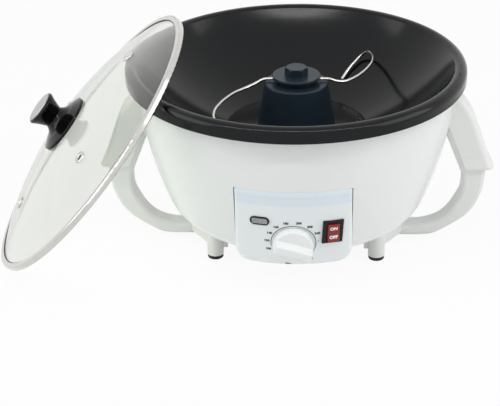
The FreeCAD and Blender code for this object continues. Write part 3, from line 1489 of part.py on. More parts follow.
def lid_washer():
    """Soft washer that keeps the screw off the glass, below it and in its hole."""
    top = washer_top()
    collar_radius = lid_screw_radius + lid_hole_gap - lid_collar_gap
    washer = join([cylinder(lid_washer_radius, top - lid_washer_thickness, top),
                   cylinder(collar_radius, top - lid_washer_thickness, lid_dome_height)])
    return on_frame(washer.cut(cylinder(lid_screw_radius + screw_gap, 0, 2 * lid_dome_height)), lid_frame())


def lid_screw():
    seat = washer_top() - lid_washer_thickness
    end = lid_dome_height + lid_screw_depth - lid_screw_end_gap
    body = join([cylinder(lid_screw_head_radius, seat - lid_screw_head_height, seat),
                 cylinder(lid_screw_radius, seat - lid_screw_head_height / 2, end)])
    return on_frame(body, lid_frame())


# --- Writing ------------------------------------------------------------------------------------
def all_parts():
    loop = handle_loop()
    cover = handle_cover()
    wire = stirring_wire()
    return {
        "outer_shell": outer_shell(),
        "control_panel": control_panel(),
        "base_plate": base_plate(),
        "base_screws": base_screws(),
        "handle_right": loop,
        "handle_left": mirrored(loop),
        "handle_cover_right": cover,
        "handle_cover_left": mirrored(cover),
        "handle_screws": handle_screws(),
        "foot_screws": foot_screws(),
        "rubber_feet": rubber_feet(),
        "pan": pan(),
        "heating_element": heating_element(),
        "heater_terminals": heater_terminals(),
        "heater_clamps": heater_clamps(),
        "tie_rods": tie_rods(),
        "rod_nuts": rod_nuts(),
        "heat_shield": heat_shield(),
        "thermal_cutout": thermal_cutout(),
        "motor_case": motor_case(),
        "motor_output_shaft": motor_output_shaft(),
        "motor_bracket": motor_bracket(),
        "motor_screws": motor_screws(),
        "bracket_screws": bracket_screws(),
        "shaft_coupling": shaft_coupling(),
        "drive_shaft": drive_shaft(),
        "shaft_bush": shaft_bush(),
        "bush_nut": bush_nut(),
        "thrust_washer": thrust_washer(),
        "stirrer_hub": stirrer_hub(),
        "stirrer_plate": stirrer_plate(),
        "cap_nut": cap_nut(),
        "stirring_wire_right": wire,
        "stirring_wire_left": turned(wire, 180),
        "thermostat_body": thermostat_body(),
        "thermostat_spindle": thermostat_spindle(),
        "thermostat_screws": thermostat_screws(),
        "thermostat_bulb": thermostat_bulb(),
        "temperature_knob": temperature_knob(),
        "switch_housing": switch_housing(),
        "switch_rocker": switch_rocker(),
        "lamp_bezel": lamp_bezel(),
        "lamp_lens": lamp_lens(),
        "neon_lamp": neon_lamp(),
        "cord_gland": cord_gland(),
        "gland_nut": gland_nut(),
        "terminal_block": terminal_block(),
        "terminal_screws": terminal_screws(),
        "lid_glass": lid_glass(),
        "lid_band": lid_band(),
        "lid_knob": lid_knob(),
        "lid_knob_disc": lid_knob_disc(),
        "lid_screw": lid_screw(),
        "lid_washer": lid_washer(),
        "vent_eyelets": vent_eyelets(),
    }


os.makedirs("parts", exist_ok=True)
for name, shape in all_parts().items():
    shape.exportStep(os.path.join("parts", name + ".step"))
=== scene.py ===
"""Looks of a countertop coffee bean roaster, built around its packed construction model.

The frame holds every solid at its place in metres, with +Z up, the front at -Y and the pan's axis
on Z. This script gives each solid its real finish, remakes the pieces whose fine form a solid
leaves out, and sets up the studio: floor, lamps and camera.
"""

from __future__ import annotations

import json
import logging
import math
from dataclasses import dataclass, field
from enum import Enum

import bmesh
import bpy
from bpy.types import ID, Material, Mesh, Node, NodeSocket, NodeTree, Object
from mathutils import Matrix, Vector

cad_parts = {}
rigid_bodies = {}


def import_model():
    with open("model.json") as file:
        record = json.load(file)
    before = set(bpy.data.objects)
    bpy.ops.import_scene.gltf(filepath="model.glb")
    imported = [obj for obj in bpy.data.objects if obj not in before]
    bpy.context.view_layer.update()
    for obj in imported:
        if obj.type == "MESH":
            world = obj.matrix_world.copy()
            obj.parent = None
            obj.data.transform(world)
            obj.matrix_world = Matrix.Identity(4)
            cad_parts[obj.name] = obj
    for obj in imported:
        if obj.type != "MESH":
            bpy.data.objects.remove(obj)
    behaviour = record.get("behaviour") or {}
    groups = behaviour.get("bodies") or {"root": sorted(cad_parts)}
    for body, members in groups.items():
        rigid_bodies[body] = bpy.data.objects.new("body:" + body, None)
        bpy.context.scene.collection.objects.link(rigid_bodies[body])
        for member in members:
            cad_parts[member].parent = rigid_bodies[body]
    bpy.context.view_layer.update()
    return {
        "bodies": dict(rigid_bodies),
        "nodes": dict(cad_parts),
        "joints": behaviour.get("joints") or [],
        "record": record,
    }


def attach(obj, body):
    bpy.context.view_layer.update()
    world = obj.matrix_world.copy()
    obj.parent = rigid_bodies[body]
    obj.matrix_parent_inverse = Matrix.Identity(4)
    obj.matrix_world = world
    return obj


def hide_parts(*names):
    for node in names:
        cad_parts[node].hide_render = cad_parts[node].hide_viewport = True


log = logging.getLogger("roaster")

MM = 0.001
# A radius under this, in millimetres, is a pole of a spun mesh.
POLE_RADIUS = 1e-6
# Strokes of printed letters are thickened by this share of the letter size.
LETTER_WEIGHT = 0.06


# --- Shared tools -------------------------------------------------------------------------------
def linear(code: str) -> tuple[float, float, float, float]:
    """Turn an sRGB hex colour into linear RGBA.

    Args:
        code: Six hex digits, such as "ECEEEC".

    Returns:
        Red, green, blue and an alpha of one, as a shader socket takes them.
    """
    parts = [int(code[place:place + 2], 16) / 255 for place in (0, 2, 4)]
    red, green, blue = (part / 12.92 if part <= 0.04045 else ((part + 0.055) / 1.055) ** 2.4
                        for part in parts)
    return red, green, blue, 1.0


def add_node(tree: NodeTree, kind: str, settings: dict | None = None, links: dict | None = None) -> Node:
    """Add a node with its settings and its incoming links.

    Args:
        tree: The tree that takes the node.
        kind: The node's type name.
        settings: Values by input name or number, or by the name of a property of the node.
        links: Output sockets by the name or number of the input that each one feeds. A node stands
            for its first output.

    Returns:
        The new node.
    """
    node = tree.nodes.new(kind)
    for key, value in (settings or {}).items():
        if isinstance(key, int) or key in node.inputs:
            node.inputs[key].default_value = value
        else:
            setattr(node, key, value)
    for key, source in (links or {}).items():
        socket = source.outputs[0] if isinstance(source, Node) else source
        tree.links.new(socket, node.inputs[key])
    return node


def spun_mesh(name: str, profile: list[tuple[float, float]], steps: int) -> Mesh:
    """Spin a closed half section about the Z axis.

    Args:
        name: Name of the mesh.
        profile: Radius and height of each corner, in millimetres. A radius of zero is a pole.
        steps: Faces around the axis.

    Returns:
        A closed mesh in metres, smooth except at its sharp edges.
    """
    form = bmesh.new()
    rings = []
    for radius, height in profile:
        if radius < POLE_RADIUS:
            rings.append([form.verts.new((0, 0, height * MM))])
            continue
        rings.append([form.verts.new((radius * MM * math.cos(2 * math.pi * k / steps),
                                      radius * MM * math.sin(2 * math.pi * k / steps), height * MM))
                      for k in range(steps)])
    for lower, upper in zip(rings, rings[1:] + rings[:1]):
        for k in range(steps):
            after = (k + 1) % steps
            corners = [lower[k % len(lower)], lower[after % len(lower)],
                       upper[after % len(upper)], upper[k % len(upper)]]
            corners = list(dict.fromkeys(corners))
            if len(corners) > 2:
                form.faces.new(corners)
    return meshed(name, form)


def meshed(name: str, form: bmesh.types.BMesh, sharp_angle: float = 32.0) -> Mesh:
    """Turn a bmesh into a mesh with outward faces and smooth shading up to an angle.

    Args:
        name: Name of the mesh.
        form: The shape, which is freed here.
        sharp_angle: Edges that turn by more than this, in degrees, stay sharp.

    Returns:
        The finished mesh.
    """
    bmesh.ops.recalc_face_normals(form, faces=form.faces[:])
    mesh = bpy.data.meshes.new(name)
    form.to_mesh(mesh)
    form.free()
    mesh.shade_smooth()
    mesh.set_sharp_from_angle(angle=math.radians(sharp_angle))
    return mesh


def arc_points(centre: tuple[float, float], radius: float, start: float, stop: float,
               count: int = 6) -> list[tuple[float, float]]:
    """Points along an arc, such as one of a half section.

    Args:
        centre: The arc's centre, across and up.
        radius: The arc's radius.
        start: First direction, in degrees from across, turning upwards.
        stop: Last direction, in degrees.
        count: Number of points.

    Returns:
        The points from start to stop.
    """
    turns = [math.radians(start + (stop - start) * k / (count - 1)) for k in range(count)]
    return [(centre[0] + radius * math.cos(turn), centre[1] + radius * math.sin(turn))
            for turn in turns]


def evaluated_mesh(piece: Object) -> Mesh:
    """The piece's mesh as its modifiers leave it."""
    bpy.context.view_layer.update()
    return bpy.data.meshes.new_from_object(piece.evaluated_get(bpy.context.evaluated_depsgraph_get()))


def loose_object(name: str, data: ID) -> Object:
    """Add an object to the scene.

    Args:
        name: The object's name.
        data: Its mesh, text, lamp or camera data.

    Returns:
        The new object.
    """
    piece = bpy.data.objects.new(name, data)
    bpy.context.scene.collection.objects.link(piece)
    return piece


# --- Finishes -----------------------------------------------------------------------------------
@dataclass(frozen=True)
class Finish:
    """A surface finish: two close tones that drift, and a fine relief.

    Colours are sRGB hex. The grain is the size of the relief's bumps and the relief its depth, in
    millimetres, and the drift is the size of the patches in which tone and gloss change. The
    roughness drifts by the gloss spread to either side, and never goes below the finest gloss.
    """

    name: str
    colour: str
    second: str
    roughness: float
    metallic: float = 0.0
    grain: float = 1.0
    relief: float = 0.01
    drift: float = 60.0
    gloss_spread: float = 0.06
    finest_gloss: float = 0.02
    sockets: dict = field(default_factory=dict, compare=False)

    def material(self) -> Material:
        """Make the finish's material on its first use.

        Returns:
            The material.
        """
        found = bpy.data.materials.get(self.name)
        if found:
            return found
        material = bpy.data.materials.new(self.name)
        material.use_nodes = True
        tree = material.node_tree
        tree.nodes.clear()
        where = add_node(tree, "ShaderNodeTexCoord").outputs["Object"]
        tone, gloss, height = self.patterns(tree, where)
        normal = add_node(tree, "ShaderNodeBump", {"Strength": 1.0, "Distance": self.relief * MM},
                          {"Height": height})
        shader = add_node(tree, "ShaderNodeBsdfPrincipled", {"Metallic": self.metallic, **self.sockets},
                          {"Base Color": tone, "Roughness": gloss, "Normal": normal})
        add_node(tree, "ShaderNodeOutputMaterial", links={"Surface": self.surface(tree, shader)})
        return material

    def patterns(self, tree: NodeTree, where: NodeSocket) -> tuple:
        """The sockets that carry the finish's pattern.

        Args:
            tree: The material's tree.
            where: Object coordinates, in metres.

        Returns:
            The colour, roughness and height sockets.
        """
        patches = add_node(tree, "ShaderNodeTexNoise", {"Scale": 1 / (self.drift * MM), "Detail": 3.0},
                           {"Vector": where}).outputs[0]
        grain = add_node(tree, "ShaderNodeTexNoise", {"Scale": 1 / (self.grain * MM), "Detail": 2.0},
                         {"Vector": where}).outputs[0]
        return self.tone(tree, patches), self.gloss(tree, patches), grain

    def tone(self, tree: NodeTree, share: NodeSocket) -> NodeSocket:
        """Drift from the first tone to the second.

        Args:
            tree: The material's tree.
            share: How far to go, from zero to one.

        Returns:
            The colour socket.
        """
        mix = add_node(tree, "ShaderNodeMix", {"data_type": "RGBA"}, {0: share})
        mix.inputs[6].default_value = linear(self.colour)
        mix.inputs[7].default_value = linear(self.second)
        return mix.outputs[2]

    def gloss(self, tree: NodeTree, share: NodeSocket) -> NodeSocket:
        """Let the roughness drift about its own value.

        Args:
            tree: The material's tree.
            share: Where between the lowest and the highest roughness, from zero to one.

        Returns:
            The roughness socket.
        """
        low = max(self.roughness - self.gloss_spread, self.finest_gloss)
        high = self.roughness + self.gloss_spread
        return add_node(tree, "ShaderNodeMapRange", {"To Min": low, "To Max": high},
                        {"Value": share}).outputs[0]

    def surface(self, tree: NodeTree, shader: Node) -> NodeSocket:
        """The socket that goes to the material's surface."""
        return shader.outputs[0]


@dataclass(frozen=True)
class NonStick(Finish):
    """Sprayed non-stick coating on spun aluminium: pale specks, and faint rings from the spinning.

    Specks lie one to a cell of the speck size, in millimetres. Each fades in from its edge to its
    core, both as shares of a cell, up to its strength. The ring size is the pitch of the rings, and
    the ring share is how far they stand out against the grain.
    """

    speck: float = 2.0
    speck_colour: str = "2A2D33"
    speck_edge: float = 0.16
    speck_core: float = 0.08
    speck_strength: float = 0.55
    ring: float = 3.0
    ring_share: float = 0.35

    def patterns(self, tree: NodeTree, where: NodeSocket) -> tuple:
        """Specks over the tone, and rings under the grain.

        Args:
            tree: The material's tree.
            where: Object coordinates, in metres.

        Returns:
            The colour, roughness and height sockets.
        """
        tone, gloss, grain = super().patterns(tree, where)
        cells = add_node(tree, "ShaderNodeTexVoronoi", {"Scale": 1 / (self.speck * MM)}, {"Vector": where})
        specks = add_node(tree, "ShaderNodeMapRange",
                          {"From Min": self.speck_edge, "From Max": self.speck_core,
                           "To Max": self.speck_strength},
                          {"Value": cells.outputs["Distance"]})
        speckled = add_node(tree, "ShaderNodeMix", {"data_type": "RGBA"}, {0: specks, 6: tone})
        speckled.inputs[7].default_value = linear(self.speck_colour)
        flat = add_node(tree, "ShaderNodeVectorMath", {"operation": "MULTIPLY", 1: (1, 1, 0)}, {0: where})
        radius = add_node(tree, "ShaderNodeVectorMath", {"operation": "LENGTH"}, {0: flat})
        rings = add_node(tree, "ShaderNodeTexNoise",
                         {"noise_dimensions": "1D", "Scale": 1 / (self.ring * MM), "Detail": 1.0},
                         {"W": radius.outputs["Value"]})
        height = add_node(tree, "ShaderNodeMath", {"operation": "MULTIPLY_ADD", 1: self.ring_share},
                          {0: rings, 2: grain})
        return speckled.outputs[2], gloss, height.outputs[0]


@dataclass(frozen=True)
class Brushed(Finish):
    """Metal brushed or drawn one way: long fine scratches, stretched along the given axes."""

    stretch: tuple[float, float, float] = (1.0, 1.0, 12.0)

    def patterns(self, tree: NodeTree, where: NodeSocket) -> tuple:
        """Scratches along the brushing.

        Args:
            tree: The material's tree.
            where: Object coordinates, in metres.

        Returns:
            The colour, roughness and height sockets.
        """
        squeeze = tuple(1 / share for share in self.stretch)
        along = add_node(tree, "ShaderNodeVectorMath", {"operation": "MULTIPLY", 1: squeeze}, {0: where})
        scratch = add_node(tree, "ShaderNodeTexNoise", {"Scale": 1 / (self.grain * MM), "Detail": 4.0},
                           {"Vector": along}).outputs[0]
        return self.tone(tree, scratch), self.gloss(tree, scratch), scratch


@dataclass(frozen=True)
class BandedPlastic(Finish):
    """Moulded plastic whose upper band is glossier, and tinted a little bluer as a painted reflection.

    The band's lower edge fades in between two heights, in millimetres.
    """

    band_from: float = 103.5
    band_to: float = 105.5
    # Painted reflection: the bluish tint laid over the upper band.
    band_reflection_colour: str = "DFEBF2"
    band_roughness: float = 0.08

    def patterns(self, tree: NodeTree, where: NodeSocket) -> tuple:
        """The plain pattern below the band; above it, more gloss and a painted bluish reflection.

        Args:
            tree: The material's tree.
            where: Object coordinates, in metres.

        Returns:
            The colour, roughness and height sockets.
        """
        tone, gloss, height = super().patterns(tree, where)
        level = add_node(tree, "ShaderNodeSeparateXYZ", links={0: where}).outputs["Z"]
        above = add_node(tree, "ShaderNodeMapRange",
                         {"From Min": self.band_from * MM, "From Max": self.band_to * MM},
                         {"Value": level}).outputs[0]
        # Painted reflection: above the band's edge the tone turns bluish.
        painted_reflection = add_node(tree, "ShaderNodeMix", {"data_type": "RGBA"}, {0: above, 6: tone})
        painted_reflection.inputs[7].default_value = linear(self.band_reflection_colour)
        polished = add_node(tree, "ShaderNodeMix", {3: self.band_roughness}, {0: above, 2: gloss})
        return painted_reflection.outputs[2], polished.outputs[0], height


@dataclass(frozen=True)
class ClearGlass(Finish):
    """Toughened glass. Light for shadows goes straight through, as it does through a thin sheet."""

    shade: str = "E6EAE4"

    def surface(self, tree: NodeTree, shader: Node) -> NodeSocket:
        """Glass for the eye, a pale tint for shadow rays.

        Args:
            tree: The material's tree.
            shader: The glass itself.

        Returns:
            The socket that goes to the material's surface.
        """
        path = add_node(tree, "ShaderNodeLightPath")
        tint = add_node(tree, "ShaderNodeBsdfTransparent", {"Color": linear(self.shade)})
        mix = add_node(tree, "ShaderNodeMixShader",
                       links={0: path.outputs["Is Shadow Ray"], 1: shader, 2: tint})
        return mix.outputs[0]


# White ABS, injection moulded in a polished tool: bright and glossy, with the faintest ripple.
GLOSS_WHITE = Finish("abs_gloss_white", "EDF0EE", "E8EBEA", 0.22, grain=9.0, relief=0.012, drift=90.0,
                     sockets={"Specular IOR Level": 0.45})
# The knob's plastic is a purer white with an eroded skin.
KNOB_WHITE = Finish("abs_knob_white", "F4F6F6", "F0F2F2", 0.32, grain=0.8, relief=0.008, drift=20.0)
# The panel is the same plastic from another tool, a shade cooler, with a glossier band at its top that
# carries a painted bluish reflection.
PANEL_WHITE = BandedPlastic("abs_panel_white", "ECF2F3", "E8EEF0", 0.2, grain=12.0, relief=0.012, drift=70.0,
                            sockets={"Specular IOR Level": 0.5, "Coat Weight": 0.3, "Coat Roughness": 0.06})
# White polypropylene from an eroded tool: duller, with a fine even grain.
SATIN_WHITE = Finish("polypropylene_satin_white", "EDEEEC", "E7E9E7", 0.42, grain=0.9, relief=0.012,
                     drift=50.0)
# PTFE sprayed on spun aluminium: almost black, slightly blue, with a soft sheen.
PTFE = NonStick("ptfe_coated_aluminium", "07090B", "0B0D11", 0.15, grain=0.8, relief=0.010, drift=40.0,
                gloss_spread=0.03, sockets={"Specular IOR Level": 0.24})
# Glass-filled nylon for the hub, its plate and nut: dark slate, dull with a light sheen.
SLATE_NYLON = Finish("glass_filled_nylon_slate", "18232C", "202D37", 0.34, grain=0.9, relief=0.02, drift=14.0,
                     sockets={"Specular IOR Level": 0.25})
# Phenolic resin, polished: deep black with sharp lights.
PHENOLIC = Finish("phenolic_black", "050506", "09090A", 0.12, grain=8.0, relief=0.01, drift=20.0,
                  sockets={"Specular IOR Level": 0.2, "Coat Weight": 0.12, "Coat Roughness": 0.05})
# Polished stainless wire and pressed band.
STAINLESS = Finish("stainless_polished", "D4D3D0", "C6C5C1", 0.16, 1.0, grain=3.0, relief=0.006, drift=9.0)
# Aluminium sheet, brushed across: soft streaks of light on the knob's disc.
BRUSHED_DISC = Brushed("aluminium_brushed", "C9CACC", "9FA1A4", 0.34, 1.0, grain=0.6, relief=0.02,
                       stretch=(14.0, 1.0, 14.0))
# Toughened soda-lime glass: clear, a little green, with the faintest ripple.
LID_GLASS = ClearGlass("toughened_glass", "E9EBE6", "E4E7E1", 0.02, grain=25.0, relief=0.02,
                       gloss_spread=0.01, sockets={"Transmission Weight": 1.0, "IOR": 1.52})
# Black PBT, as switches and glands are moulded from: deep, with a dull shine.
BLACK_PBT = Finish("pbt_black", "0C0C0D", "131314", 0.26, grain=0.7, relief=0.012, drift=12.0,
                   sockets={"Specular IOR Level": 0.25})
# Tinted polycarbonate: a rocker that glows a little at its edges.
RED_PC = Finish("polycarbonate_red", "96201B", "7F1613", 0.2, grain=4.0, relief=0.01, drift=6.0,
                sockets={"Subsurface Weight": 0.15, "Subsurface Radius": (0.004, 0.001, 0.001),
                         "Subsurface Scale": 0.3})
# Frosted acrylic prisms on a smoked bed: the lamp's lens looks pale and patterned.
LENS_ACRYLIC = Finish("acrylic_frosted", "C9CDCC", "B4B9B8", 0.25, grain=1.0, relief=0.02, drift=3.0)
LENS_BED = Finish("acrylic_smoked", "55595B", "3F4345", 0.35, grain=1.0, relief=0.02, drift=3.0)
# Moulded rubber and silicone: matt black, the silicone a shade smoother.
RUBBER = Finish("rubber_black", "161616", "212121", 0.78, grain=0.8, relief=0.04, drift=9.0)
SILICONE = Finish("silicone_black", "101111", "191A1A", 0.55, grain=1.2, relief=0.02, drift=20.0)
# Zinc-plated steel for screws and rods: bright grey, slightly clouded.
ZINC = Finish("steel_zinc_plated", "B9BCC0", "A3A7AC", 0.30, 1.0, grain=0.5, relief=0.01, drift=4.0)
# Aluminised sheet steel: dull silver, with the rolling's long streaks.
SHEET_STEEL = Brushed("steel_aluminised", "B3B5B6", "9A9DA0", 0.42, 1.0, grain=1.5, relief=0.02,
                      stretch=(20.0, 1.0, 1.0))
# Nickel alloy sheath of the heater: brown-grey from the heat.
HEATER_ALLOY = Finish("incoloy_oxidised", "5B5650", "453F3A", 0.46, 1.0, grain=0.6, relief=0.02, drift=10.0)
# Turned brass: warm and bright.
BRASS = Finish("brass_turned", "B8955A", "A98447", 0.28, 1.0, grain=0.5, relief=0.01, drift=5.0)
# Steatite ceramic: cream, matt and a little chalky.
CERAMIC = Finish("steatite_ceramic", "E6DFCF", "D9D0BC", 0.55, grain=0.6, relief=0.03, drift=4.0)
# Glass of a neon lamp: orange, glossy.
NEON_GLASS = Finish("neon_glass_orange", "D98A55", "C26E3C", 0.15, grain=3.0, relief=0.01, drift=3.0,
                    sockets={"Coat Weight": 0.4})
# Pad-printing ink: thin and even, without shine.
INK_BLACK = Finish("pad_print_black", "1E2022", "2B2E30", 0.45, grain=0.4, relief=0.004, drift=2.0)
INK_WHITE = Finish("pad_print_white", "F4F4F2", "E9E9E6", 0.45, grain=0.4, relief=0.004, drift=2.0)


class Slot(Enum):
    """The record's material slots, named for each new piece."""

    SHELL = "white_shell"
    BLACK = "black_plastic"
    RED = "red_plastic"
    LAMP = "lamp_plastic"
    RUBBER = "rubber"
    STEEL = "steel"


class Body(Enum):
    """The moving groups that new pieces ride on."""

    HOUSING = "housing"
    ROCKER = "rocker"
    LID = "lid"


# --- Geometry node trees ------------------------------------------------------------------------
class NodeRecipe:
    """A Geometry Nodes tree with named inputs, which ends in Realize Instances and Set Material."""

    def __init__(self, name: str, inputs: dict[str, str]) -> None:
        """Open the tree.

        Args:
            name: Name of the tree.
            inputs: Socket type of each named input, besides the geometry and the material.
        """
        self.tree = bpy.data.node_groups.new(name, "GeometryNodeTree")
        self.tree.interface.new_socket("Geometry", in_out="OUTPUT", socket_type="NodeSocketGeometry")
        sockets = {"Geometry": "NodeSocketGeometry", **inputs, "Finish": "NodeSocketMaterial"}
        for label, kind in sockets.items():
            self.tree.interface.new_socket(label, in_out="INPUT", socket_type=kind)
        self.given = self.add("NodeGroupInput").outputs

    def add(self, kind: str, settings: dict | None = None, links: dict | None = None) -> Node:
        """Add a node to this tree; see add_node."""
        return add_node(self.tree, kind, settings, links)

    def close(self, geometry: Node) -> None:
        """Finish the tree.

        Args:
            geometry: The node that gives the geometry.
        """
        real = self.add("GeometryNodeRealizeInstances", links={0: geometry})
        dressed = self.add("GeometryNodeSetMaterial",
                           links={"Geometry": real, "Material": self.given["Finish"]})
        self.add("NodeGroupOutput", links={0: dressed})

    def grow(self, seed: Object, finish: Finish, values: dict) -> Mesh:
        """Run the tree on an object and keep the plain mesh.

        Args:
            seed: Object that the tree starts from; it is removed here.
            finish: Finish of the result.
            values: Values of the named inputs.

        Returns:
            The finished mesh.
        """
        modifier = seed.modifiers.new(self.tree.name, "NODES")
        modifier.node_group = self.tree
        sockets = {item.name: item.identifier for item in self.tree.interface.items_tree
                   if item.in_out == "INPUT"}
        for label, value in {**values, "Finish": finish.material()}.items():
            modifier[sockets[label]] = value
        mesh = evaluated_mesh(seed)
        seed.modifiers.remove(modifier)
        bpy.data.objects.remove(seed)
        return mesh


def ring_recipe() -> NodeRecipe:
    """Copies of a piece on a circle, each tipped outwards by the same angle.

    Returns:
        The recipe.
    """
    recipe = NodeRecipe("ring_of_pieces", {"Count": "NodeSocketInt", "Radius": "NodeSocketFloat",
                                           "Height": "NodeSocketFloat", "First": "NodeSocketFloat",
                                           "Lean": "NodeSocketFloat"})
    given = recipe.given
    circle = recipe.add("GeometryNodeMeshCircle",
                        links={"Vertices": given["Count"], "Radius": given["Radius"]})
    rise = recipe.add("ShaderNodeCombineXYZ", links={"Z": given["Height"]})
    turn = recipe.add("ShaderNodeCombineXYZ", links={"Z": given["First"]})
    placed = recipe.add("GeometryNodeTransform",
                        links={"Geometry": circle, "Translation": rise, "Rotation": turn})
    number = recipe.add("GeometryNodeInputIndex")
    step = recipe.add("ShaderNodeMath", {"operation": "DIVIDE", 0: 2 * math.pi}, {1: given["Count"]})
    azimuth = recipe.add("ShaderNodeMath", {"operation": "MULTIPLY_ADD"},
                         {0: number, 1: step, 2: given["First"]})
    angles = recipe.add("ShaderNodeCombineXYZ", links={"Y": given["Lean"], "Z": azimuth})
    copies = recipe.add("GeometryNodeInstanceOnPoints",
                        links={"Points": placed, "Instance": given["Geometry"], "Rotation": angles})
    recipe.close(copies)
    return recipe


def prism_recipe(margin: float = 0.4) -> NodeRecipe:
    """Small pyramids on a grid, kept inside a round-ended field.

    Args:
        margin: How far each pyramid's middle keeps from the field's edge, as a share of the pitch.

    Returns:
        The recipe.
    """
    recipe = NodeRecipe("prism_field", {"Length": "NodeSocketFloat", "Width": "NodeSocketFloat",
                                        "Pitch": "NodeSocketFloat", "Columns": "NodeSocketInt",
                                        "Rows": "NodeSocketInt"})
    given = recipe.given
    size_x = recipe.add("ShaderNodeMath", {"operation": "MULTIPLY"},
                        {0: given["Pitch"], 1: given["Columns"]})
    size_y = recipe.add("ShaderNodeMath", {"operation": "MULTIPLY"}, {0: given["Pitch"], 1: given["Rows"]})
    grid = recipe.add("GeometryNodeMeshGrid",
                      links={"Size X": size_x, "Size Y": size_y,
                             "Vertices X": given["Columns"], "Vertices Y": given["Rows"]})
    spot = recipe.add("ShaderNodeSeparateXYZ", links={0: recipe.add("GeometryNodeInputPosition")})
    reach = recipe.add("ShaderNodeMath", {"operation": "SUBTRACT"}, {0: given["Length"], 1: given["Width"]})
    half_reach = recipe.add("ShaderNodeMath", {"operation": "MULTIPLY", 1: 0.5}, {0: reach})
    out_x = recipe.add("ShaderNodeMath", {"operation": "ABSOLUTE"}, {0: spot.outputs["X"]})
    over = recipe.add("ShaderNodeMath", {"operation": "SUBTRACT"}, {0: out_x, 1: half_reach})
    past = recipe.add("ShaderNodeMath", {"operation": "MAXIMUM", 1: 0.0}, {0: over})
    away = recipe.add("ShaderNodeCombineXYZ", links={"X": past, "Y": spot.outputs["Y"]})
    distance = recipe.add("ShaderNodeVectorMath", {"operation": "LENGTH"}, {0: away})
    inset = recipe.add("ShaderNodeMath", {"operation": "MULTIPLY", 1: -margin}, {0: given["Pitch"]})
    limit = recipe.add("ShaderNodeMath", {"operation": "MULTIPLY_ADD", 1: 0.5}, {0: given["Width"], 2: inset})
    inside = recipe.add("FunctionNodeCompare", {"operation": "LESS_THAN"},
                        {0: distance.outputs["Value"], 1: limit})
    copies = recipe.add("GeometryNodeInstanceOnPoints",
                        links={"Points": grid, "Selection": inside, "Instance": given["Geometry"]})
    recipe.close(copies)
    return recipe


# --- Bench --------------------------------------------------------------------------------------
@dataclass
class Bench:
    """The frame's nodes, and the making of new pieces around them.

    Points nearer than the merge gap, in millimetres, become one. Faces that meet at less than the
    flat angle count as one face, and those at more than the edge angle as a sharp edge, in degrees.
    """

    nodes: dict[str, Object]
    merge_gap: float = 0.002
    flat_angle: float = 1.0
    edge_angle: float = 25.0

    def dress(self, finish: Finish, *names: str) -> None:
        """Give construction nodes a finish.

        Args:
            finish: The finish.
            names: The nodes.
        """
        for name in names:
            for place in self.nodes[name].material_slots:
                place.material = finish.material()

    def piece(self, name: str, mesh: Mesh, finish: Finish, body: Body, slot: Slot,
              stands_for: tuple[str, ...] = ()) -> None:
        """Add a new piece in place.

        Args:
            name: The piece's name.
            mesh: Its mesh, already in place.
            finish: Its finish.
            body: The moving group that it rides on.
            slot: The record's slot for its finish; not used.
            stands_for: Construction nodes that it replaces.
        """
        mesh.name = name
        mesh.materials.clear()
        mesh.materials.append(finish.material())
        made = loose_object(name, mesh)
        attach(made, body.value)
        if stands_for:
            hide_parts(*stands_for)

    def softened(self, name: str, width: float, segments: int = 3) -> Mesh:
        """A copy of a construction node with its sharp edges rounded.

        Args:
            name: The node.
            width: Width of the rounding, in millimetres.
            segments: Faces across the rounding.

        Returns:
            The rounded mesh.
        """
        form = bmesh.new()
        form.from_mesh(self.nodes[name].data)
        bmesh.ops.remove_doubles(form, verts=form.verts[:], dist=self.merge_gap * MM)
        bmesh.ops.dissolve_limit(form, angle_limit=math.radians(self.flat_angle), verts=form.verts[:],
                                 edges=form.edges[:])
        turn = math.radians(self.edge_angle)
        sharp = [edge for edge in form.edges if edge.is_manifold and edge.calc_face_angle() > turn]
        bmesh.ops.bevel(form, geom=sharp, offset=width * MM, segments=segments, profile=0.5,
                        affect="EDGES", clamp_overlap=True)
        return meshed(name + "_soft", form)


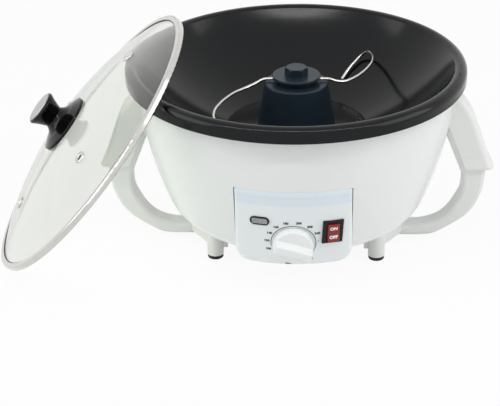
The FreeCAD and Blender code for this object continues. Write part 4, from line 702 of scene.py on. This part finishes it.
# --- Housing ------------------------------------------------------------------------------------
@dataclass
class Housing:
    """White shell, base plate with its screws, and the cord gland at the back."""

    bench: Bench
    screw_circle: float = 72.0
    screw_count: int = 4
    plate_bottom: float = 31.5
    head_radius: float = 3.8
    head_height: float = 2.2
    shank_radius: float = 2.0
    shank_length: float = 6.5
    recess_width: float = 0.9
    recess_reach: float = 1.9
    recess_depth: float = 1.3
    shoulder_share: float = 0.45
    dome_steps: int = 6
    head_steps: int = 32

    def build(self, ring: NodeRecipe) -> None:
        """Dress the housing and make its base screws.

        Args:
            ring: Recipe that sets pieces on a circle.
        """
        self.bench.dress(GLOSS_WHITE, "outer_shell")
        self.bench.dress(SATIN_WHITE, "base_plate")
        self.bench.dress(BLACK_PBT, "cord_gland", "gland_nut")
        seed = loose_object("base_screw_seed", self.screw())
        mesh = ring.grow(seed, ZINC, {
            "Count": self.screw_count, "Radius": self.screw_circle * MM, "Height": self.plate_bottom * MM,
            "First": math.pi / self.screw_count, "Lean": math.pi})
        self.bench.piece("base_screws_cross_head", mesh, ZINC, Body.HOUSING, Slot.STEEL, ("base_screws",))

    def screw(self) -> Mesh:
        """One pan-head screw with a cross recess; its seat is at zero and its head points up.

        Returns:
            The screw's mesh, in metres.
        """
        shoulder = self.shoulder_share * self.head_height
        rise = self.head_height - shoulder
        dome_radius = (self.head_radius ** 2 + rise ** 2) / (2 * rise)
        radii = [self.head_radius * k / self.dome_steps for k in range(self.dome_steps - 1, -1, -1)]
        dome = [(radius, self.head_height - dome_radius + math.sqrt(dome_radius ** 2 - radius ** 2))
                for radius in radii]
        profile = [(0.0, -self.shank_length), (self.shank_radius, -self.shank_length),
                   (self.shank_radius, 0.0), (self.head_radius, 0.0), (self.head_radius, shoulder), *dome]
        head = loose_object("screw_head", spun_mesh("screw_head", profile, self.head_steps))
        cutters = []
        for turn in (0, 90):
            form = bmesh.new()
            size = Matrix.Diagonal((2 * self.recess_reach, self.recess_width, 2 * self.recess_depth, 1))
            bmesh.ops.create_cube(form, size=MM, matrix=Matrix.Translation((0, 0, self.head_height * MM))
                                  @ Matrix.Rotation(math.radians(turn), 4, "Z") @ size)
            cutters.append(loose_object("screw_recess", meshed("screw_recess", form)))
            cut = head.modifiers.new("recess", "BOOLEAN")
            cut.object = cutters[-1]
        mesh = evaluated_mesh(head)
        for used in [head, *cutters]:
            bpy.data.objects.remove(used)
        return mesh


# --- Handles and feet ---------------------------------------------------------------------------
@dataclass
class Handles:
    """Both loops with their hood covers, and the rubber feet."""

    bench: Bench

    def build(self) -> None:
        """Dress the handles and feet."""
        self.bench.dress(SATIN_WHITE, "handle_right", "handle_left", "handle_cover_right",
                         "handle_cover_left")
        self.bench.dress(RUBBER, "rubber_feet")
        self.bench.dress(ZINC, "handle_screws", "foot_screws")


# --- Pan and stirrer ----------------------------------------------------------------------------
@dataclass
class PanAndStirrer:
    """Coated pan, slate hub with its plate and nut, and the two stirring wires."""

    bench: Bench

    def build(self) -> None:
        """Dress the pan, hub and wires."""
        self.bench.dress(PTFE, "pan")
        self.bench.dress(SLATE_NYLON, "stirrer_hub", "stirrer_plate", "cap_nut")
        self.bench.dress(STAINLESS, "stirring_wire_right", "stirring_wire_left")


# --- Drive, heater and wiring -------------------------------------------------------------------
@dataclass
class Works:
    """Everything between the pan and the base plate."""

    bench: Bench

    def build(self) -> None:
        """Dress the works."""
        self.bench.dress(HEATER_ALLOY, "heating_element")
        self.bench.dress(CERAMIC, "heater_terminals", "terminal_block")
        self.bench.dress(SHEET_STEEL, "heat_shield", "motor_bracket", "heater_clamps", "motor_case")
        self.bench.dress(ZINC, "tie_rods", "rod_nuts", "motor_screws", "bracket_screws", "terminal_screws",
                         "thermostat_screws", "motor_output_shaft", "thermostat_spindle", "thermal_cutout")
        self.bench.dress(STAINLESS, "drive_shaft", "thrust_washer")
        self.bench.dress(BRASS, "shaft_bush", "bush_nut", "shaft_coupling", "thermostat_bulb")
        self.bench.dress(BLACK_PBT, "thermostat_body")
        self.bench.dress(NEON_GLASS, "neon_lamp")


# --- Control panel ------------------------------------------------------------------------------
@dataclass
class PanelFace:
    """The panel's conical face, for what is printed on it or stands on it. Millimetres."""

    bottom_z: float = 36.5
    bottom_radius: float = 126.0
    brow_z: float = 112.0
    brow_radius: float = 142.6

    def radius(self, z: float) -> float:
        """Radius of the face at a height."""
        share = (z - self.bottom_z) / (self.brow_z - self.bottom_z)
        return self.bottom_radius + share * (self.brow_radius - self.bottom_radius)

    def frame(self, azimuth: float, z: float) -> Matrix:
        """Axes on the face, in millimetres: X to the right, Y up the face, Z straight out of it.

        Args:
            azimuth: Degrees to the right of the middle.
            z: Height.

        Returns:
            The matrix from the axes on the face to the frame's own.
        """
        slope = math.atan2(self.brow_radius - self.bottom_radius, self.brow_z - self.bottom_z)
        turn = math.radians(azimuth)
        out = Vector((math.sin(turn) * math.cos(slope), -math.cos(turn) * math.cos(slope), -math.sin(slope)))
        right = Vector((math.cos(turn), math.sin(turn), 0))
        up = out.cross(right)
        origin = Vector((self.radius(z) * math.sin(turn), -self.radius(z) * math.cos(turn), z))
        return Matrix.Translation(origin) @ Matrix((right, up, out)).transposed().to_4x4()

    def onto(self, frame: Matrix, spot: Vector, proud: float) -> Vector:
        """Move a point of the frame's plane onto the face.

        Args:
            frame: Axes from frame().
            spot: Point in those axes.
            proud: Height above the face.

        Returns:
            The point, in millimetres.
        """
        rise = 0.0
        for _ in range(4):
            here = frame @ Vector((spot.x, spot.y, rise))
            rise += self.radius(here.z) - math.hypot(here.x, here.y)
        return frame @ Vector((spot.x, spot.y, rise + proud))


@dataclass
class ControlPanel:
    """Panel with its print, temperature knob, rocker switch and indicator lamp.

    Millimetres and degrees. Figures are given with their angle round the dial, from the right and
    turning up, and dots with their angle, length and width. The rocker's two halves fall from their
    rise at the ends to the valley between them. A prism's foot and tip are half diagonals, as
    shares of the pitch.
    """

    bench: Bench
    face: PanelFace = field(default_factory=PanelFace)
    dial_z: float = 62.6
    ring_radius: float = 20.0
    ring_width: float = 0.65
    ring_from: float = 192.0
    ring_to: float = -40.0
    figure_radius: float = 24.2
    figure_size: float = 3.3
    figures: tuple[tuple[str, float], ...] = (
        ("100", 199.0), ("120", 176.0), ("140", 153.0), ("160", 130.0), ("180", 106.0), ("200", 78.0),
        ("220", 52.0), ("240", 27.0), ("OFF", 259.0), ("°C", -49.0),
    )
    dots: tuple[tuple[float, float, float], ...] = ((5.0, 1.0, 1.0), (232.0, 1.6, 0.7), (244.0, 2.2, 0.9))
    dot_gap: float = 2.6
    dot_radius: float = 0.5
    dot_steps: int = 16
    ring_steps: int = 72
    longest_edge: float = 1.2
    print_proud: float = 0.09
    switch_azimuth: float = 15.2
    switch_z: float = 74.8
    rocker_half: float = 9.0
    rocker_rise: float = 6.0
    rocker_valley: float = 5.1
    rocker_pivot: float = -1.5
    rocker_edge: float = 0.35
    rocker_tilt: float = -6.5
    rocker_text: float = 4.3
    rocker_text_proud: float = 0.06
    lamp_azimuth: float = -12.7
    lamp_z: float = 86.9
    lens_length: float = 15.9
    lens_width: float = 6.9
    lens_depth: float = 2.5
    lens_top: float = 0.9
    lens_end_steps: int = 16
    prism_pitch: float = 1.15
    prism_height: float = 0.4
    prism_foot: float = 0.62
    prism_tip: float = 0.22

    def build(self, prisms: NodeRecipe) -> None:
        """Dress the panel and make its print, rocker marks and lens.

        Args:
            prisms: Recipe for the lens's field of prisms.
        """
        self.bench.dress(PANEL_WHITE, "control_panel")
        self.bench.dress(KNOB_WHITE, "temperature_knob")
        self.bench.dress(BLACK_PBT, "switch_housing", "lamp_bezel")
        self.bench.piece("dial_print", self.dial_print(), INK_BLACK, Body.HOUSING, Slot.BLACK)
        self.bench.piece("rocker_soft", self.bench.softened("switch_rocker", self.rocker_edge), RED_PC,
                         Body.ROCKER, Slot.RED, ("switch_rocker",))
        self.bench.piece("rocker_marks", self.rocker_marks(), INK_WHITE, Body.ROCKER, Slot.SHELL)
        self.lamp(prisms)

    def dial_print(self) -> Mesh:
        """Ring line, figures and small marks round the dial, laid on the face.

        Returns:
            The print's mesh, in metres.
        """
        frame = self.face.frame(0.0, self.dial_z)
        form = bmesh.new()
        edges = []
        for k in range(self.ring_steps + 1):
            turn = math.radians(self.ring_from + (self.ring_to - self.ring_from) * k / self.ring_steps)
            edges.append([form.verts.new((radius * math.cos(turn), radius * math.sin(turn), 0))
                          for radius in (self.ring_radius, self.ring_radius + self.ring_width)])
        for one, two in zip(edges, edges[1:]):
            form.faces.new((one[0], one[1], two[1], two[0]))
        for angle, length, width in self.dots:
            out = Matrix.Translation((self.ring_radius + self.dot_gap, 0, 0))
            turn = Matrix.Rotation(math.radians(angle), 4, "Z") @ out
            spot = bmesh.ops.create_circle(form, cap_ends=True, segments=self.dot_steps,
                                           radius=self.dot_radius)["verts"]
            bmesh.ops.transform(form, matrix=turn @ Matrix.Diagonal((width, length, 1, 1)), verts=spot)
        for words, angle in self.figures:
            turn = math.radians(angle)
            place = Vector((self.figure_radius * math.cos(turn), self.figure_radius * math.sin(turn), 0))
            form.from_mesh(flat_text(words, self.figure_size, place))
        long_ones = [edge for edge in form.edges if edge.calc_length() > self.longest_edge]
        bmesh.ops.subdivide_edges(form, edges=long_ones, cuts=1)
        for vertex in form.verts:
            vertex.co = self.face.onto(frame, vertex.co, self.print_proud) * MM
        return outward(form, "dial_print", frame.to_3x3() @ Vector((0, 0, 1)))

    def rocker_marks(self) -> Mesh:
        """The words ON and OFF on the two halves of the rocker.

        Returns:
            The words' mesh, in metres.
        """
        frame = self.face.frame(self.switch_azimuth, self.switch_z)
        rocker = frame @ Matrix.Translation((0, 0, self.rocker_pivot)) @ Matrix.Rotation(
            math.radians(self.rocker_tilt), 4, "X")
        slope = math.atan2(self.rocker_rise - self.rocker_valley, self.rocker_half)
        level = (self.rocker_rise + self.rocker_valley) / 2 + self.rocker_text_proud
        form = bmesh.new()
        for words, side in (("ON", 1), ("OFF", -1)):
            mesh = flat_text(words, self.rocker_text, Vector((0, 0, 0)))
            middle = Vector((0, side * self.rocker_half / 2, level))
            mesh.transform(rocker @ Matrix.Translation(middle) @ Matrix.Rotation(side * slope, 4, "X"))
            form.from_mesh(mesh)
        bmesh.ops.scale(form, vec=(MM, MM, MM), verts=form.verts[:])
        return outward(form, "rocker_marks", frame.to_3x3() @ Vector((0, 0, 1)))

    def lamp(self, prisms: NodeRecipe) -> None:
        """Make the lens bed and the field of small prisms on it.

        Args:
            prisms: Recipe for the field.
        """
        frame = self.face.frame(self.lamp_azimuth, self.lamp_z)
        reach = (self.lens_length - self.lens_width) / 2
        outline = []
        for side, first in ((1, -90), (-1, 90)):
            outline += arc_points((side * reach, 0), self.lens_width / 2, first, first + 180,
                                  self.lens_end_steps + 1)
        form = bmesh.new()
        low = [form.verts.new((x, y, -self.lens_depth)) for x, y in outline]
        high = [form.verts.new((x, y, self.lens_top)) for x, y in outline]
        form.faces.new(low)
        form.faces.new(high)
        for k in range(len(outline)):
            after = (k + 1) % len(outline)
            form.faces.new((low[k], low[after], high[after], high[k]))
        bed = meshed("lamp_lens_bed", form)
        bed.transform(Matrix.Diagonal((MM, MM, MM, 1)) @ frame)
        self.bench.piece("lamp_lens_bed", bed, LENS_BED, Body.HOUSING, Slot.LAMP, ("lamp_lens",))
        form = bmesh.new()
        pitch = self.prism_pitch * MM
        bmesh.ops.create_cone(form, cap_ends=True, segments=4, radius1=self.prism_foot * pitch,
                              radius2=self.prism_tip * pitch, depth=self.prism_height * MM,
                              matrix=Matrix.Rotation(math.pi / 4, 4, "Z"))
        columns = int(self.lens_length / self.prism_pitch)
        rows = int(self.lens_width / self.prism_pitch)
        seed = loose_object("prism_seed", meshed("prism_seed", form))
        mesh = prisms.grow(seed, LENS_ACRYLIC, {
            "Length": self.lens_length * MM, "Width": self.lens_width * MM, "Pitch": self.prism_pitch * MM,
            "Columns": columns, "Rows": rows})
        lift = Matrix.Translation((0, 0, self.lens_top + self.prism_height / 2))
        to_mm = Matrix.Diagonal((1 / MM, 1 / MM, 1 / MM, 1))
        mesh.transform(Matrix.Diagonal((MM, MM, MM, 1)) @ frame @ lift @ to_mm)
        self.bench.piece("lamp_lens_prisms", mesh, LENS_ACRYLIC, Body.HOUSING, Slot.LAMP, ("lamp_lens",))


def flat_text(words: str, size: float, middle: Vector) -> Mesh:
    """Words as a flat mesh, in millimetres.

    Args:
        words: What is written.
        size: Letter size.
        middle: Middle of the words.

    Returns:
        The mesh, in the XY plane.
    """
    text = bpy.data.curves.new("text", "FONT")
    text.body = words
    text.size = size
    text.offset = LETTER_WEIGHT * size
    text.align_x = "CENTER"
    text.align_y = "CENTER"
    text.resolution_u = 3
    holder = loose_object("text_holder", text)
    mesh = evaluated_mesh(holder)
    bpy.data.objects.remove(holder)
    mesh.transform(Matrix.Translation(middle))
    return mesh


def outward(form: bmesh.types.BMesh, name: str, out: Vector) -> Mesh:
    """Make a mesh of a thin print whose faces all look the same way.

    Args:
        form: The print, which is freed here.
        name: Name of the mesh.
        out: The way that the faces have to look.

    Returns:
        The finished mesh.
    """
    form.normal_update()
    wrong = [one for one in form.faces if one.normal.dot(out) < 0]
    bmesh.ops.reverse_faces(form, faces=wrong)
    mesh = bpy.data.meshes.new(name)
    form.to_mesh(mesh)
    form.free()
    return mesh


# --- Lid ----------------------------------------------------------------------------------------
@dataclass
class GlassLid:
    """Domed glass lid that leans on the pan's rim, with its band, seal, eyelets and knob.

    Millimetres and degrees. The eyelets' rolled edge starts at the seat above the glass, and their
    wall reaches past it by the tail.
    """

    bench: Bench
    centre: tuple[float, float, float] = (-196.824, -22.077, 112.063)
    heading: float = 186.4
    lean: float = 39.6
    radius: float = 144.0
    dome_height: float = 30.5
    lip_reach: float = 5.5
    glass_top: float = 2.4
    seal_width: float = 1.0
    seal_height: float = 0.7
    seal_sink: float = 0.2
    seal_steps: int = 256
    vent_circle: float = 88.0
    vent_count: int = 4
    vent_first: float = 10.0
    eyelet_outer: float = 6.0
    eyelet_bore: float = 2.3
    eyelet_height: float = 1.1
    eyelet_seat: float = 0.05
    eyelet_tail: float = 0.3
    eyelet_wall: float = 1.1
    eyelet_steps: int = 40
    glass_thickness: float = 4.0

    def place(self) -> Matrix:
        """The lid's place, with X up its slope and Z out of the dome.

        Returns:
            The matrix from the lid's axes to the frame's own, in metres.
        """
        lean, heading = math.radians(self.lean), math.radians(self.heading)
        away = Vector((math.cos(heading), math.sin(heading), 0))
        out = away * math.cos(lean) + Vector((0, 0, math.sin(lean)))
        up = Vector((0, 0, math.cos(lean))) - away * math.sin(lean)
        turn = Matrix((up, out.cross(up), out)).transposed().to_4x4()
        return Matrix.Translation(Vector(self.centre) * MM) @ turn

    def sphere(self) -> float:
        """Work out the dome's outer face.

        Returns:
            Its radius, in millimetres.
        """
        reach = self.radius - self.lip_reach
        rise = self.dome_height - self.glass_top
        return (reach ** 2 + rise ** 2) / (2 * rise)

    def build(self, ring: NodeRecipe) -> None:
        """Dress the lid and make its seal and eyelets.

        Args:
            ring: Recipe that sets pieces on a circle.
        """
        self.bench.dress(LID_GLASS, "lid_glass")
        self.bench.dress(STAINLESS, "lid_band", "lid_screw")
        self.bench.dress(PHENOLIC, "lid_knob")
        self.bench.dress(BRUSHED_DISC, "lid_knob_disc")
        self.bench.dress(SILICONE, "lid_washer")
        self.seal()
        self.eyelets(ring)

    def seal(self) -> None:
        """Thin black bead between the band's lip and the glass."""
        outer = self.radius - self.lip_reach
        bead = arc_points((outer, self.glass_top), self.seal_width, 90, 180, 7)
        profile = [(outer, self.glass_top - self.seal_sink)]
        profile += [(radius, self.glass_top + (height - self.glass_top) * self.seal_height / self.seal_width)
                    for radius, height in bead]
        profile.append((outer - self.seal_width, self.glass_top - self.seal_sink))
        mesh = spun_mesh("lid_seal", profile, self.seal_steps)
        mesh.transform(self.place())
        self.bench.piece("lid_seal", mesh, SILICONE, Body.LID, Slot.RUBBER)

    def eyelets(self, ring: NodeRecipe) -> None:
        """Make the rolled steel eyelets in the vent holes.

        Args:
            ring: Recipe that sets pieces on a circle.
        """
        roll = self.eyelet_height
        low = -self.glass_thickness - self.eyelet_tail
        seat = self.eyelet_seat
        wall = self.eyelet_bore + self.eyelet_wall
        profile = arc_points((self.eyelet_outer - roll, seat), roll, 0, 90)
        profile += arc_points((self.eyelet_bore + roll, seat), roll, 90, 180)
        profile += [(self.eyelet_bore, low), (wall, low), (wall, seat)]
        sphere = self.sphere()
        tilt = math.asin(self.vent_circle / sphere)
        height = self.dome_height - sphere + sphere * math.cos(tilt)
        seed = loose_object("eyelet_seed", spun_mesh("eyelet_seed", profile, self.eyelet_steps))
        mesh = ring.grow(seed, STAINLESS, {
            "Count": self.vent_count, "Radius": self.vent_circle * MM, "Height": height * MM,
            "First": math.radians(self.vent_first), "Lean": tilt})
        mesh.transform(self.place())
        self.bench.piece("vent_eyelets_rolled", mesh, STAINLESS, Body.LID, Slot.STEEL, ("vent_eyelets",))


# --- Studio -------------------------------------------------------------------------------------
@dataclass(frozen=True)
class Softbox:
    """An area lamp that looks at the object. Degrees, metres and watts."""

    name: str
    azimuth: float
    elevation: float
    distance: float
    width: float
    height: float
    power: float

    def build(self, target: Vector) -> None:
        """Hang the lamp.

        Args:
            target: Where it points.
        """
        data = bpy.data.lights.new(self.name, "AREA")
        data.shape = "RECTANGLE"
        data.size = self.width
        data.size_y = self.height
        data.energy = self.power
        lamp = loose_object(self.name, data)
        turn, rise = math.radians(self.azimuth), math.radians(self.elevation)
        way = Vector((math.sin(turn) * math.cos(rise), -math.cos(turn) * math.cos(rise), math.sin(rise)))
        lamp.location = target + way * self.distance
        lamp.rotation_euler = way.to_track_quat("Z", "Y").to_euler()


@dataclass
class Studio:
    """White floor and surround, soft lamps, and the camera.

    The eye and the lens are in millimetres, the floor, the lamps' aim and the farthest distance
    drawn in metres, and angles in degrees.
    """

    eye: tuple[float, float, float] = (31.27, -1355.82, 731.67)
    yaw: float = 3.264
    look_down: float = 27.134
    roll: float = -1.04
    lens: float = 111.28
    floor_size: float = 12.0
    floor_colour: str = "F2F2F2"
    floor_glow: float = 0.92
    surround: float = 0.5
    aim: tuple[float, float, float] = (0.0, 0.0, 0.1)
    farthest: float = 50.0
    lamps: tuple[Softbox, ...] = (
        Softbox("key_strip", 0.0, 60.0, 1.5, 2.2, 0.06, 7.0),
        Softbox("left_wall", -75.0, 25.0, 2.0, 1.4, 1.4, 12.0),
        Softbox("right_wall", 75.0, 25.0, 2.0, 1.4, 1.4, 12.0),
    )

    def build(self) -> None:
        """Set up floor, surround, lamps and camera."""
        bpy.context.scene.view_settings.view_transform = "Standard"
        self.floor()
        self.sky()
        for lamp in self.lamps:
            lamp.build(Vector(self.aim))
        self.camera()

    def seen(self, tree: NodeTree) -> NodeSocket:
        """One for rays from the camera, from a mirror or through glass, and zero for light.

        Args:
            tree: The tree that takes the nodes.

        Returns:
            The socket.
        """
        path = add_node(tree, "ShaderNodeLightPath")
        sight = add_node(tree, "ShaderNodeMath", {"operation": "MAXIMUM"},
                         {0: path.outputs["Is Camera Ray"], 1: path.outputs["Is Glossy Ray"]})
        return add_node(tree, "ShaderNodeMath", {"operation": "MAXIMUM"},
                        {0: sight, 1: path.outputs["Is Transmission Ray"]}).outputs[0]

    def floor(self) -> None:
        """Pale floor that reads white where nothing shades it."""
        form = bmesh.new()
        bmesh.ops.create_grid(form, x_segments=1, y_segments=1, size=self.floor_size / 2)
        floor = loose_object("studio_floor", meshed("studio_floor", form))
        material = bpy.data.materials.new("studio_floor_white")
        material.use_nodes = True
        tree = material.node_tree
        tree.nodes.clear()
        board = add_node(tree, "ShaderNodeBsdfDiffuse", {"Color": linear(self.floor_colour)})
        glow = add_node(tree, "ShaderNodeEmission", {"Strength": 1.0})
        share = add_node(tree, "ShaderNodeMath", {"operation": "MULTIPLY", 1: self.floor_glow},
                         {0: self.seen(tree)})
        mix = add_node(tree, "ShaderNodeMixShader", links={0: share, 1: board, 2: glow})
        add_node(tree, "ShaderNodeOutputMaterial", links={"Surface": mix})
        floor.data.materials.append(material)

    def sky(self) -> None:
        """Surround that reads white, and lights the object softly from all sides."""
        world = bpy.data.worlds.new("studio_surround")
        bpy.context.scene.world = world
        world.use_nodes = True
        tree = world.node_tree
        tree.nodes.clear()
        light = add_node(tree, "ShaderNodeBackground", {"Color": (1, 1, 1, 1), "Strength": self.surround})
        white = add_node(tree, "ShaderNodeBackground", {"Color": (1, 1, 1, 1), "Strength": 1.0})
        mix = add_node(tree, "ShaderNodeMixShader", links={0: self.seen(tree), 1: light, 2: white})
        add_node(tree, "ShaderNodeOutputWorld", links={"Surface": mix})

    def camera(self) -> None:
        """Camera from the front, a little above the object."""
        data = bpy.data.cameras.new("camera")
        data.lens = self.lens
        data.clip_end = self.farthest
        camera = loose_object("camera", data)
        camera.matrix_world = (Matrix.Translation(Vector(self.eye) * MM)
                               @ Matrix.Rotation(math.radians(self.yaw), 4, "Z")
                               @ Matrix.Rotation(math.radians(90 - self.look_down), 4, "X")
                               @ Matrix.Rotation(math.radians(self.roll), 4, "Z"))
        bpy.context.scene.camera = camera


# --- Making -------------------------------------------------------------------------------------
def main() -> None:
    """Build the studio and every sub-assembly."""
    logging.basicConfig(level=logging.INFO, format="%(name)s: %(message)s")
    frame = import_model()
    Studio().build()
    log.info("studio ready")
    bench = Bench(frame["nodes"])
    ring, prisms = ring_recipe(), prism_recipe()
    Housing(bench).build(ring)
    log.info("housing: shell, base plate, screws and gland")
    Handles(bench).build()
    log.info("handles: loops, covers and feet")
    PanAndStirrer(bench).build()
    log.info("pan, hub and stirring wires")
    Works(bench).build()
    log.info("works: heater, drive and wiring parts")
    ControlPanel(bench).build(prisms)
    log.info("panel: print, knob, switch and lamp")
    GlassLid(bench).build(ring)
    log.info("lid: glass, band, seal, eyelets and knob")


if __name__ == "__main__":
    main()
